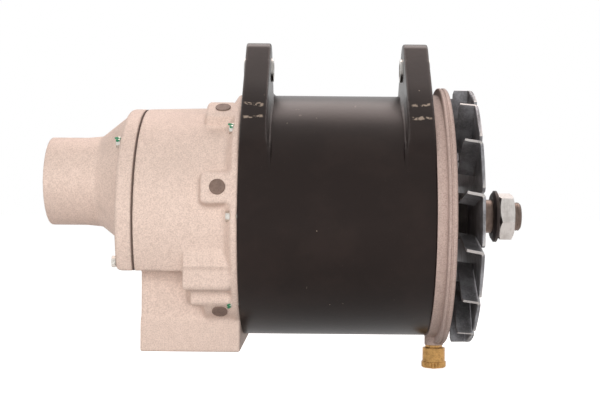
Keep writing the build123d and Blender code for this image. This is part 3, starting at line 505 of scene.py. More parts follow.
@dataclass(frozen=True)
class WorkedMetal:
    """A metal with a directional or cloudy finish; each part of the machine has its own settings."""

    name: str
    colour: Rgb
    tarnish: Rgb
    roughness: float = 0.3
    streak: Point = (1.0, 1.0, 1.0)
    streak_mm: float = 1.2
    cloud_mm: float = 9.0
    cloud_detail: float = 4.0
    tarnish_shares: Flat = (0.6, 0.4)
    tarnish_band: Band = (0.42, 0.66)
    tarnish_share: float = 0.45
    tarnish_roughness: float = 0.22
    streak_roughness: float = 0.08
    metallic: float = 1.0
    relief_mm: float = 0.012
    edge_mm: float = 0.25

    def make(self) -> bpy.types.Material:
        """Builds the material.

        Returns:
            The material.
        """
        s = Shader.material(self.name)
        streaks = s.noise(Grain(self.streak_mm), s.mapped(self.streak))
        cloud = s.noise(Grain(self.cloud_mm, self.cloud_detail))
        mask = s.step(s.mixed(self.tarnish_shares, cloud, streaks), self.tarnish_band) * self.tarnish_share
        rough = self.roughness + mask * self.tarnish_roughness + streaks * self.streak_roughness
        return s.surface(Base_Color=s.blend(mask, self.colour, self.tarnish), Metallic=self.metallic,
                         Roughness=rough, Normal=s.bump(streaks, self.relief_mm, self.edge_mm))


@dataclass(frozen=True)
class FanSteel:
    """Blued sheet steel, with a painted highlight along the sheared rim."""

    face: Rgb = (0.40, 0.40, 0.42)
    dark: Rgb = (0.19, 0.185, 0.19)
    # cut: colour of the painted highlight laid along the sheared rim of the blades.
    cut: Rgb = (0.50, 0.47, 0.45)
    axis_z_mm: float = -124.0
    rim_mm: Band = (107.0, 107.35)
    glint_patch_shares: Flat = (0.5, 0.5)
    glint_patch_band: Band = (0.30, 0.48)
    cloud: Grain = Grain(16.0, 4.0)
    fine: Grain = Grain(1.4)
    face_shares: Flat = (0.7, 0.3)
    face_band: Band = (0.38, 0.66)
    roughness: float = 0.36
    fine_roughness: float = 0.12
    metallic: float = 0.75
    relief_mm: float = 0.015
    edge_mm: float = 0.25

    def make(self) -> bpy.types.Material:
        """Builds the material.

        Returns:
            The material.
        """
        s = Shader.material("fan_plate")
        y, z = s.along(1), s.along(2) - self.axis_z_mm * MM
        reach = s.maths("SQRT", y * y + z * z)
        cloud, fine = s.noise(self.cloud), s.noise(self.fine)
        glint_patches = s.step(s.mixed(self.glint_patch_shares, cloud, fine), self.glint_patch_band)
        # Painted highlight: a thin band at the rim, broken into patches.
        rim = s.step(reach, in_metres(*self.rim_mm)) * glint_patches
        face = s.step(s.mixed(self.face_shares, cloud, fine), self.face_band)
        colour = s.blend(face, self.dark, self.face)
        return s.surface(Base_Color=s.blend(rim, colour, self.cut), Metallic=self.metallic,
                         Roughness=self.roughness + fine * self.fine_roughness,
                         Normal=s.bump(fine, self.relief_mm, self.edge_mm))


@dataclass(frozen=True)
class Moulding:
    """Matte moulded or pressed material with a fine grain."""

    name: str
    colour: Rgb
    roughness: float = 0.6
    grain_mm: float = 0.5
    grain_band: Band = (0.45, 0.75)
    grain_share: float = 0.5
    grain_roughness: float = 0.1
    relief_mm: float = 0.03
    paler: float = 1.6
    pale_lift: float = 0.01

    def make(self) -> bpy.types.Material:
        """Builds the material.

        Returns:
            The material.
        """
        s = Shader.material(self.name)
        grain = s.noise(Grain(self.grain_mm))
        pale = tuple(min(1.0, channel * self.paler + self.pale_lift) for channel in self.colour)
        colour = s.blend(s.step(grain, self.grain_band) * self.grain_share, self.colour, pale)
        return s.surface(Base_Color=colour, Roughness=self.roughness + grain * self.grain_roughness,
                         Normal=s.bump(grain, self.relief_mm))


@dataclass(frozen=True)
class CopperWinding:
    """Varnished copper wire, seen as fine parallel turns."""

    name: str
    colour: Rgb
    wire_mm: float = 1.3
    cloud: Grain = Grain(12.0, rough=0.5)
    dark_share: float = 0.7
    darkening: float = 0.45
    roughness: float = 0.34
    metallic: float = 0.55
    relief_mm: float = 0.25

    def make(self) -> bpy.types.Material:
        """Builds the material.

        Returns:
            The material.
        """
        s = Shader.material(self.name)
        wire = s.maths("SINE", s.along(0) * (math.tau / (self.wire_mm * MM))) * 0.5 + 0.5
        dark = tuple(channel * self.darkening for channel in self.colour)
        colour = s.blend(s.noise(self.cloud) * self.dark_share, self.colour, dark)
        return s.surface(Base_Color=colour, Metallic=self.metallic, Roughness=self.roughness,
                         Normal=s.bump(wire, self.relief_mm))


ALONG_X: Point = (0.05, 1.0, 1.0)
AROUND_X: Point = (1.0, 0.12, 0.12)
STACKED_X: Point = (8.0, 0.2, 0.2)


def all_finishes() -> dict[str, bpy.types.Material]:
    """Makes a material for each slot of the record, and darker materials, as painted shade, for two nodes
    within a slot.

    Returns:
        The materials by name.
    """
    finishes = (
        CastAluminium(),
        # A darker copy of the cast aluminium for the drive-end bracket: painted shade for its sideways-facing
        # rim.
        CastAluminium("shaded_bracket_casting", (0.56, 0.425, 0.375), (0.38, 0.275, 0.235)),
        # Near-black steel for the spacer collar: painted shade where it is seen between the fan blades.
        WorkedMetal("shaded_collar_steel", (0.045, 0.036, 0.032), (0.02, 0.016, 0.014), 0.62, AROUND_X,
                    metallic=0.4),
        WorkedMetal("zinc_screw", (0.72, 0.69, 0.64), (0.30, 0.27, 0.23), 0.30, cloud_mm=3.0),
        WorkedMetal("nut_zinc", (0.66, 0.62, 0.59), (0.36, 0.32, 0.29), 0.36, AROUND_X, cloud_mm=7.0),
        WorkedMetal("washer_black", (0.035, 0.026, 0.024), (0.10, 0.075, 0.06), 0.42, AROUND_X, metallic=0.7),
        WorkedMetal("shaft_steel", (0.20, 0.15, 0.125), (0.07, 0.050, 0.042), 0.36, AROUND_X),
        WorkedMetal("bush_steel", (0.62, 0.60, 0.57), (0.28, 0.25, 0.22), 0.26, AROUND_X),
        WorkedMetal("bearing_steel", (0.70, 0.70, 0.70), (0.5, 0.5, 0.5), 0.12, AROUND_X),
        WorkedMetal("cage_steel", (0.52, 0.47, 0.38), (0.34, 0.30, 0.24), 0.35),
        WorkedMetal("brass", (0.62, 0.36, 0.13), (0.26, 0.13, 0.05), 0.28, cloud_mm=4.0, tarnish_share=0.55),
        WorkedMetal("lamination", (0.20, 0.20, 0.21), (0.09, 0.08, 0.08), 0.5, STACKED_X, 0.9),
        WorkedMetal("ring_copper", (0.70, 0.34, 0.20), (0.35, 0.16, 0.09), 0.25, AROUND_X),
        WorkedMetal("spring_steel", (0.5, 0.5, 0.5), (0.3, 0.3, 0.3), 0.25),
        WorkedMetal("sink_aluminium", (0.70, 0.70, 0.71), (0.5, 0.49, 0.47), 0.34, ALONG_X),
        WorkedMetal("vent_gauze", (0.22, 0.15, 0.12), (0.10, 0.066, 0.054), 0.5, cloud_mm=4.0, metallic=0.3),
        WorkedMetal("marking_paint", (0.02, 0.22, 0.09), (0.01, 0.10, 0.05), 0.3, metallic=0.0),
        CopperWinding("copper_winding", (0.50, 0.16, 0.06)),
        Moulding("moulding", (0.020, 0.020, 0.022)),
        Moulding("carbon", (0.018, 0.018, 0.019), 0.5),
        Moulding("gasket_fibre", (0.13, 0.088, 0.072), 0.8),
    )
    materials = {finish.name: finish.make() for finish in finishes}
    return materials | {"yoke_paint": YokePaint().make(), "fan_plate": FanSteel().make()}


# ---------------------------------------------------------------- mesh helpers
def mesh_of(name: str, bm: bmesh.types.BMesh) -> bpy.types.Mesh:
    """Writes a bmesh into a new mesh and frees it.

    Args:
        name: the mesh's name.
        bm: the bmesh.

    Returns:
        The mesh.
    """
    mesh = bpy.data.meshes.new(name)
    bm.to_mesh(mesh)
    bm.free()
    return mesh


def merged_copy(name: str, source: bpy.types.Mesh) -> bpy.types.Mesh:
    """Copies a mesh of loose triangles and joins the corners that meet.

    Args:
        name: the copy's name.
        source: the mesh, which stays as it is.

    Returns:
        The copy.
    """
    bm = bmesh.new()
    bm.from_mesh(source)
    bmesh.ops.remove_doubles(bm, verts=bm.verts, dist=WELD)
    return mesh_of(name, bm)


def mesh_object(name: str, mesh: bpy.types.Mesh,
                finish: bpy.types.Material | None = None) -> bpy.types.Object:
    """Links a mesh into the scene.

    Args:
        name: the new object's name.
        mesh: its mesh.
        finish: its only material, or None to keep the mesh's own.

    Returns:
        The object, at the origin.
    """
    obj = bpy.data.objects.new(name, mesh)
    bpy.context.scene.collection.objects.link(obj)
    if finish is not None:
        mesh.materials.clear()
        mesh.materials.append(finish)
    return obj


def modified(name: str, maker: bpy.types.Object) -> bpy.types.Mesh:
    """Applies an object's modifiers to a new mesh and removes the object.

    Args:
        name: the new mesh's name.
        maker: the object.

    Returns:
        The plain mesh.
    """
    maker.update_tag()
    bpy.context.view_layer.update()
    graph = bpy.context.evaluated_depsgraph_get()
    mesh = bpy.data.meshes.new_from_object(maker.evaluated_get(graph))
    mesh.name = name
    maker.modifiers.clear()
    bpy.data.objects.remove(maker)
    return mesh


def shell_from_rings(name: str, rings: list[list[Point]], closed_ends: bool = True) -> bpy.types.Mesh:
    """Skins a row of closed rings of equal length.

    Args:
        name: the mesh's name.
        rings: the rings, each a list of points in metres.
        closed_ends: whether the first and last ring get a cap.

    Returns:
        A mesh with outward faces.
    """
    bm = bmesh.new()
    rows = [[bm.verts.new(point) for point in ring] for ring in rings]
    count = len(rings[0])
    for low, high in zip(rows, rows[1:]):
        for i in range(count):
            j = (i + 1) % count
            bm.faces.new((low[i], low[j], high[j], high[i]))
    if closed_ends:
        bm.faces.new(list(reversed(rows[0])))
        bm.faces.new(rows[-1])
    bmesh.ops.recalc_face_normals(bm, faces=bm.faces)
    return mesh_of(name, bm)


def lathe(name: str, profile: list[Flat], sides: int = 96) -> bpy.types.Mesh:
    """Turns a closed (x, radius) profile in millimetres about the X axis.

    Args:
        name: the mesh's name.
        profile: the profile's corners in order.
        sides: steps round the axis.

    Returns:
        The turned mesh.
    """
    rings = []
    for i in range(sides):
        angle = math.tau * i / sides
        rings.append([(x * MM, r * MM * math.cos(angle), r * MM * math.sin(angle)) for x, r in profile])
    rings.append(rings[0])
    mesh = shell_from_rings(name, rings, closed_ends=False)
    bm = bmesh.new()
    bm.from_mesh(mesh)
    bmesh.ops.remove_doubles(bm, verts=bm.verts, dist=SEAM)
    bmesh.ops.recalc_face_normals(bm, faces=bm.faces)
    bm.to_mesh(mesh)
    bm.free()
    return mesh


def prism_x(name: str, x0: float, x1: float, outline: list[Flat]) -> bpy.types.Mesh:
    """Straight bar along X.

    Args:
        name: the mesh's name.
        x0: its rear end in millimetres.
        x1: its front end in millimetres.
        outline: its (y, z) corners in millimetres.

    Returns:
        A closed mesh.
    """
    return shell_from_rings(name, [[(x * MM, y * MM, z * MM) for y, z in outline] for x in (x0, x1)])


def shade_by_angle(mesh: bpy.types.Mesh, degrees: float = 32.0) -> None:
    """Smooths a mesh, and keeps edges sharper than an angle crisp.

    Args:
        mesh: the mesh to shade.
        degrees: the angle.
    """
    mesh.shade_smooth()
    bm = bmesh.new()
    bm.from_mesh(mesh)
    for edge in bm.edges:
        if len(edge.link_faces) != 2 or edge.calc_face_angle(0.0) > math.radians(degrees):
            edge.smooth = False
    bm.to_mesh(mesh)
    bm.free()


def polar(radius: float, degrees: float) -> Flat:
    """The (y, z) point at a radius, with the angle taken from +Y towards +Z."""
    return radius * math.cos(math.radians(degrees)), radius * math.sin(math.radians(degrees))


def smooth_line(points: list[Flat], steps: int = 6) -> list[Flat]:
    """Catmull-Rom curve through points.

    Args:
        points: the points to pass through.
        steps: pieces per span.

    Returns:
        The finer line, both ends included.
    """
    line = []
    ends = [points[0], *points, points[-1]]
    for a, b, c, d in zip(ends, ends[1:], ends[2:], ends[3:]):
        for i in range(steps):
            t = i / steps
            line.append(tuple(0.5 * (2 * q + (r - p) * t + (2 * p - 5 * q + 4 * r - w) * t * t
                                     + (3 * q - p - 3 * r + w) * t ** 3) for p, q, r, w in zip(a, b, c, d)))
    return [*line, points[-1]]


def melted(name: str, parts: list[bpy.types.Mesh], voxel: float, passes: int,
           finish: bpy.types.Material | None = None) -> bpy.types.Object:
    """Unites closed shapes into one skin with soft cast fillets.

    Args:
        name: the new object's name.
        parts: the closed shapes, in place.
        voxel: the grid of the new skin in millimetres.
        passes: rounds of smoothing.
        finish: its material, if it is dressed here.

    Returns:
        One plain mesh object.
    """
    bm = bmesh.new()
    for part in parts:
        copy = merged_copy(name + "_part", part)
        bm.from_mesh(copy)
        bpy.data.meshes.remove(copy)
    holder = mesh_object(name + "_raw", mesh_of(name + "_raw", bm))
    skin = holder.modifiers.new("skin", "REMESH")
    skin.mode, skin.voxel_size, skin.adaptivity = "VOXEL", voxel * MM, 0.0
    soft = holder.modifiers.new("soft", "SMOOTH")
    soft.factor, soft.iterations = 0.5, passes
    mesh = modified(name, holder)
    mesh.shade_smooth()
    return mesh_object(name, mesh, finish)


# ---------------------------------------------------------------- Geometry Nodes
class Pattern(NodeTree):
    """A Geometry Nodes tree with named inputs that ends in real geometry with a material."""

    KINDS = {int: "NodeSocketInt", float: "NodeSocketFloat", tuple: "NodeSocketVector",
             bpy.types.Object: "NodeSocketObject", bpy.types.Material: "NodeSocketMaterial"}

    def __init__(self, name: str, inputs: dict) -> None:
        """Starts a tree.

        Args:
            name: the tree's name.
            inputs: its inputs by name, with the values that it will run with.
        """
        super().__init__(bpy.data.node_groups.new(name, "GeometryNodeTree"))
        self.values = {}
        face = self.tree.interface
        face.new_socket("Geometry", in_out="INPUT", socket_type="NodeSocketGeometry")
        face.new_socket("Geometry", in_out="OUTPUT", socket_type="NodeSocketGeometry")
        for label, value in inputs.items():
            kind = next(kind for held, kind in self.KINDS.items() if isinstance(value, held))
            socket = face.new_socket(label, in_out="INPUT", socket_type=kind)
            self.values[socket.identifier] = value
        self.start = self.node("NodeGroupInput")

    def given(self, label: str) -> Signal:
        """One of the tree's inputs."""
        return Signal(self, self.start.outputs[label])

    def shape_of(self, label: str) -> Signal:
        """The geometry of an object that is one of the tree's inputs."""
        info = self.node("GeometryNodeObjectInfo", None, {"Object": self.given(label)})
        return Signal(self, info.outputs["Geometry"])

    def close(self, geometry: Signal) -> None:
        """Ends the tree in Realize Instances and Set Material, with the input called Finish.

        Args:
            geometry: what the tree has made.
        """
        real = self.first("GeometryNodeRealizeInstances", None, {0: geometry})
        inputs = {"Geometry": real, "Material": self.given("Finish")}
        dressed = self.first("GeometryNodeSetMaterial", None, inputs)
        self.node("NodeGroupOutput", None, {0: dressed})

    def run(self, name: str, base: bpy.types.Mesh | None = None) -> bpy.types.Object:
        """Runs the tree and keeps its result as a plain mesh.

        Args:
            name: the new object's name.
            base: the mesh that the tree starts from, or None for an empty one.

        Returns:
            An object with no modifier.
        """
        holder = mesh_object(name + "_maker", base or bpy.data.meshes.new(name + "_base"))
        modifier = holder.modifiers.new("pattern", "NODES")
        modifier.node_group = self.tree
        for identifier, value in self.values.items():
            modifier[identifier] = value
        return mesh_object(name, modified(name, holder))


def ring_of(name: str, copy: bpy.types.Object, count: int, start: float, centre: Point, spin: Axis,
            finish: bpy.types.Material) -> bpy.types.Object:
    """Copies of a shape spaced evenly about an axis.

    Args:
        name: the result's name.
        copy: one copy, built about the origin, which is used up.
        count: how many.
        start: the first one's angle in radians.
        centre: where the axis lies, in metres.
        spin: the axis that they turn about.
        finish: their material.

    Returns:
        One plain mesh object.
    """
    inputs = {"Copy": copy, "Count": count, "Start": start, "Centre": centre, "Finish": finish}
    p = Pattern(name + "_ring", inputs)
    line = p.first("GeometryNodeMeshLine", None, {"Count": p.given("Count"), "Offset": (0.0, 0.0, 0.0)})
    angle = p.first("GeometryNodeInputIndex") * (math.tau / p.given("Count")) + p.given("Start")
    turn = p.first("ShaderNodeCombineXYZ", None, {spin.value: angle})
    copies = p.first("GeometryNodeInstanceOnPoints", None,
                     {"Points": line, "Instance": p.shape_of("Copy"), "Rotation": turn})
    p.close(p.first("GeometryNodeTransform", None, {"Geometry": copies, "Translation": p.given("Centre")}))
    result = p.run(name)
    bpy.data.objects.remove(copy)
    return result


def scattered(name: str, copy: bpy.types.Object, spots: list[tuple[Point, Point]],
              finish: bpy.types.Material) -> bpy.types.Object:
    """Copies of a shape at chosen places.

    Args:
        name: the result's name.
        copy: one copy, built at the origin with +Z outwards, which is used up.
        spots: (place, Euler turn) pairs.
        finish: their material.

    Returns:
        One plain mesh object.
    """
    base = bpy.data.meshes.new(name + "_spots")
    base.from_pydata([place for place, _ in spots], [], [])
    turns = base.attributes.new("turn", "FLOAT_VECTOR", "POINT")
    for item, (_, turn) in zip(turns.data, spots):
        item.vector = turn
    p = Pattern(name + "_scatter", {"Copy": copy, "Size": 1.0, "Finish": finish})
    turn = p.node("GeometryNodeInputNamedAttribute", {"data_type": "FLOAT_VECTOR"}, {"Name": "turn"})
    inputs = {"Points": p.given("Geometry"), "Instance": p.shape_of("Copy"),
              "Rotation": Signal(p, turn.outputs["Attribute"]), "Scale": p.given("Size")}
    p.close(p.first("GeometryNodeInstanceOnPoints", None, inputs))
    result = p.run(name, base)
    bpy.data.objects.remove(copy)
    return result


# ---------------------------------------------------------------- sub-assemblies
@dataclass
class Machine:
    """What every sub-assembly needs: the frame, the finishes and the rotor axis."""

    frame: dict
    finish: dict[str, bpy.types.Material]
    axis: Vector = field(init=False)

    def __post_init__(self) -> None:
        """Finds the rotor axis from the rotor's joint."""
        spin = next(j for j in self.frame["joints"] if j["name"] == "rotor_spin")
        self.axis = Vector((0.0, spin["pos_m"][1], spin["pos_m"][2]))

    def on_shaft(self, mesh: bpy.types.Mesh, rise: float = 0.0) -> bpy.types.Mesh:
        """Moves a mesh that is drawn about the origin onto the shaft's axis.

        Args:
            mesh: the mesh to move.
            rise: how far above the axis it goes.

        Returns:
            The same mesh.
        """
        mesh.transform(Matrix.Translation(self.axis + Vector((0.0, 0.0, rise * MM))))
        return mesh

    def keep(self, piece: bpy.types.Object, body: str, slot: str, *nodes: str) -> None:
        """Files a finished piece.

        Args:
            piece: the object.
            body: the body that it rides on.
            slot: the record's slot of its finish; not used.
            nodes: CAD nodes that it stands for.
        """
        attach(piece, body)
        if nodes:
            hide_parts(*nodes)
        LOG.info("%s: %d faces on %s", piece.name, len(piece.data.polygons), body)


@dataclass
class Castings:
    """The CAD nodes themselves, which keep their shapes and get their finishes here."""

    machine: Machine
    # Two nodes take darker materials as painted shade: the drive-end bracket and the spacer collar behind the
    # fan.
    special: dict[str, str] = field(default_factory=lambda: {"drive_end_bracket": "shaded_bracket_casting",
                                                             "spacer_collar": "shaded_collar_steel"})

    def dress(self) -> None:
        """Gives every CAD node the material of its slot, or for two nodes a darker material as painted shade.
        """
        slots = {part["node"]: part["material_slot"] for part in self.machine.frame["record"]["subparts"]}
        for name, node in self.machine.frame["nodes"].items():
            material = self.machine.finish[self.special.get(name, slots[name])]
            if not node.material_slots:
                node.data.materials.append(material)
            for slot in node.material_slots:
                slot.material = material
            LOG.info("node %s in %s", name, material.name)


@dataclass
class Yoke:
    """Rolled yoke tube with its two forged hinge lugs, under one coat of paint.

    The lug's outline runs from the foot, given in degrees above the horizontal, up the toe, given as
    (radius, degrees), and the flank, given as (y, z), to the eye round the pivot.
    """

    machine: Machine
    radius: float = 101.6
    wall: float = 8.0
    edge: float = 0.8
    edge_ease: float = 0.3
    sides: int = 256
    lug_thick: float = 21.1
    pivot: float = 124.0
    eye: float = 22.8
    eye_degrees: tuple[int, int, int] = (48, 91, 6)
    bore: float = 10.15
    foot_deg: float = 19.5
    foot_sunk: float = 0.4
    toe: tuple[Flat, ...] = ((102.9, 24.0), (105.6, 29.0), (107.4, 35.0))
    flank: tuple[Flat, ...] = ((74.0, 80.5), (57.5, 99.5), (37.0, 119.8))
    root: float = 98.0
    root_steps: int = 24
    cove: float = 4.5
    cove_shares: tuple[float, ...] = (0.33, 0.66, 1.0)
    cove_bite: float = 2.0
    cove_sunk: float = 0.3
    cove_degrees: tuple[float, ...] = (34.0, 62.0, 90.0)
    cove_toe: Flat = (0.5, 5.0)
    cove_curve: Flat = (1.25, 0.25)
    drill_past: float = 3.0
    drill_core: float = 0.0001
    drill_sides: int = 48
    crisp_deg: Flat = (40.0, 50.0)
    voxel: float = 1.05
    passes: int = 9

    def closed(self, half: list[Flat]) -> list[Flat]:
        """Mirrors half of a side view and closes it along the root, inside the tube.

        Args:
            half: the near half, from the foot to the middle.

        Returns:
            The whole outline.
        """
        far = [(-y, z) for y, z in reversed(half[:-1])]
        sweep = (180 - 2 * self.foot_deg) / self.root_steps
        root = [polar(self.root, 180 - self.foot_deg - k * sweep) for k in range(self.root_steps + 1)]
        return half + far + root

    def lug_outline(self) -> list[Flat]:
        """Side view of a lug with its saddle.

        Returns:
            Its outline.
        """
        eye = [(self.eye * math.cos(math.radians(a)), self.pivot + self.eye * math.sin(math.radians(a)))
               for a in range(*self.eye_degrees)]
        foot = polar(self.radius - self.foot_sunk, self.foot_deg)
        return self.closed(smooth_line([foot, *(polar(*place) for place in self.toe), *self.flank, *eye]))

    def cove_outline(self, rise: float) -> list[Flat]:
        """Side view of one step of the cove at a lug's root.

        Args:
            rise: how far it stands out of the tube.

        Returns:
            Its outline.
        """
        foot = polar(self.radius - self.cove_sunk, self.foot_deg)
        share, turn = self.cove_toe
        toe = polar(self.radius + rise * share, self.foot_deg + turn)
        crest = [polar(self.radius + rise, angle) for angle in self.cove_degrees]
        return self.closed(smooth_line([foot, toe, *crest]))

    def lug(self, name: str, x0: float, inwards: int) -> bpy.types.Object:
        """One lug with its cove, bored for the bush.

        Args:
            name: the lug's name.
            x0: its rear face.
            inwards: 1 if its cove is on the front face, and -1 if it is on the rear face.

        Returns:
            The painted lug.
        """
        x1 = x0 + self.lug_thick
        inner = x1 if inwards > 0 else x0
        parts = [prism_x("lug", x0, x1, self.lug_outline())]
        reach, least = self.cove_curve
        for share in self.cove_shares:
            rear, front = sorted((inner - inwards * self.cove_bite, inner + inwards * self.cove * share))
            outline = self.cove_outline(self.cove * (reach - share) ** 2 + least)
            parts.append(prism_x("cove", rear, front, outline))
        for part in parts:
            self.machine.on_shaft(part)
        rough = melted(name, parts, self.voxel, self.passes)
        rear, front, core = x0 - self.drill_past, x1 + self.drill_past, self.drill_core
        drill = lathe("drill", [(rear, core), (rear, self.bore), (front, self.bore), (front, core)],
                      self.drill_sides)
        cutter = mesh_object("drill", self.machine.on_shaft(drill, self.pivot))
        cut = rough.modifiers.new("bore", "BOOLEAN")
        cut.operation, cut.object, cut.solver = "DIFFERENCE", cutter, "EXACT"
        mesh = modified(name, rough)
        bpy.data.objects.remove(cutter)
        shade_by_angle(mesh, self.crisp_deg[1])
        return mesh_object(name, mesh, self.machine.finish["yoke_paint"])

    def tube(self, x0: float, x1: float) -> bpy.types.Object:
        """The rolled tube with its broken edges.

        Args:
            x0: its rear end.
            x1: its front end.

        Returns:
            The painted tube.
        """
        r, e, ease = self.radius, self.edge, self.edge * self.edge_ease
        profile = [(x0, r - self.wall), (x0, r - e), (x0 + ease, r - ease), (x0 + e, r), (x1 - e, r),
                   (x1 - ease, r - ease), (x1, r - e), (x1, r - self.wall)]
        mesh = self.machine.on_shaft(lathe("yoke_tube", profile, self.sides))
        shade_by_angle(mesh, self.crisp_deg[0])
        return mesh_object("yoke_tube", mesh, self.machine.finish["yoke_paint"])

    def build(self) -> None:
        """Makes tube and lugs and files them on the housing."""
        low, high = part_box("yoke")
        x0, x1 = low.x / MM, high.x / MM
        pieces = (self.tube(x0, x1), self.lug("yoke_rear_lug", x0, 1),
                  self.lug("yoke_front_lug", x1 - self.lug_thick, -1))
        for piece in pieces:
            self.machine.keep(piece, "housing", "yoke_paint", "yoke")


@dataclass
class RearHousing:
    """Cast rear housing: the frame's own form with the casting's soft pads, cove and stepped boss.

    The pad's profile holds (height, half width), the cove's holds (x, radius), and each step of the
    boss holds its (y, z) outline on the near side and how far forward of boss_rear it starts.
    """

    machine: Machine
    voxel: float = 1.5
    passes: int = 2
    pad_x: float = -94.0
    pad_profile: tuple[Flat, ...] = ((84.0, 13.9), (92.0, 13.3), (97.0, 12.7), (99.6, 12.3), (100.5, 11.6))
    pad_steps: int = 32
    squareness: int = 9
    cove_profile: tuple[Flat, ...] = ((-93.0, 86.0), (-93.0, 90.8), (-89.5, 91.7), (-86.5, 93.8),
                                      (-84.2, 97.2), (-83.0, 101.0), (-80.0, 101.6), (-80.0, 86.0))
    cove_sides: int = 160
    boss_rear: float = -120.5
    boss_front: float = -84.0
    boss_steps: tuple[tuple[float, tuple[Flat, ...]], ...] = (
        (0.0, ((-68.0, -22.5), (-83.0, -23.5), (-87.5, -27.5), (-88.6, -33.0), (-87.6, -56.0), (-85.5, -58.6),
               (-60.0, -59.0))),
        (5.0, ((-50.0, -50.0), (-75.0, -54.0), (-74.0, -69.0), (-71.5, -71.8), (-50.0, -72.5))))

    def pad(self) -> bpy.types.Mesh:
        """One soft square pad about the shaft, pointing up.

        Returns:
            Its closed mesh.
        """
        rings = []
        for z, half in self.pad_profile:
            ring = []
            for k in range(self.pad_steps):
                angle = math.tau * k / self.pad_steps
                c, s = math.cos(angle), math.sin(angle)
                size = half / (abs(c) ** self.squareness + abs(s) ** self.squareness) ** (1 / self.squareness)
                ring.append((size * c * MM, size * s * MM, z * MM))
            rings.append(ring)
        return shell_from_rings("pad", rings)

    def forms(self) -> list[bpy.types.Mesh]:
        """The cove and the boss, which stands on both sides.

        Returns:
            Their closed meshes, about the shaft.
        """
        shapes = [lathe("cove", list(self.cove_profile), self.cove_sides)]
        for side in (-1, 1):
            for inset, outline in self.boss_steps:
                line = [(-side * y, z) for y, z in outline]
                shapes.append(prism_x("boss", self.boss_rear + inset, self.boss_front, line))
        return shapes

    def build(self) -> None:
        """Melts the forms together and files the housing."""
        shapes = [self.machine.on_shaft(shape) for shape in self.forms()]
        foot = (self.pad_x * MM, self.machine.axis.y, self.machine.axis.z)
        spots = [(foot, (math.radians(angle) - math.pi / 2, 0.0, 0.0)) for angle in PAD_ANGLES]
        metal = self.machine.finish["cast_aluminium"]
        pads = scattered("housing_pads", mesh_object("pad", self.pad()), spots, metal)
        shapes += [pads.data, self.machine.frame["nodes"]["rear_housing"].data]
        body = melted("rear_housing_casting", shapes, self.voxel, self.passes, metal)
        bpy.data.objects.remove(pads)
        self.machine.keep(body, "housing", "cast_aluminium", "rear_housing")


@dataclass
class EndCover:
    """Cast end cover with its air duct, softened where the mould was."""

    machine: Machine
    voxel: float = 1.2
    passes: int = 2

    def build(self) -> None:
        """Softens the frame's own form and files it."""
        form = self.machine.frame["nodes"]["end_cover"].data
        metal = self.machine.finish["cast_aluminium"]
        body = melted("end_cover_casting", [form], self.voxel, self.passes, metal)
        self.machine.keep(body, "housing", "cast_aluminium", "end_cover")


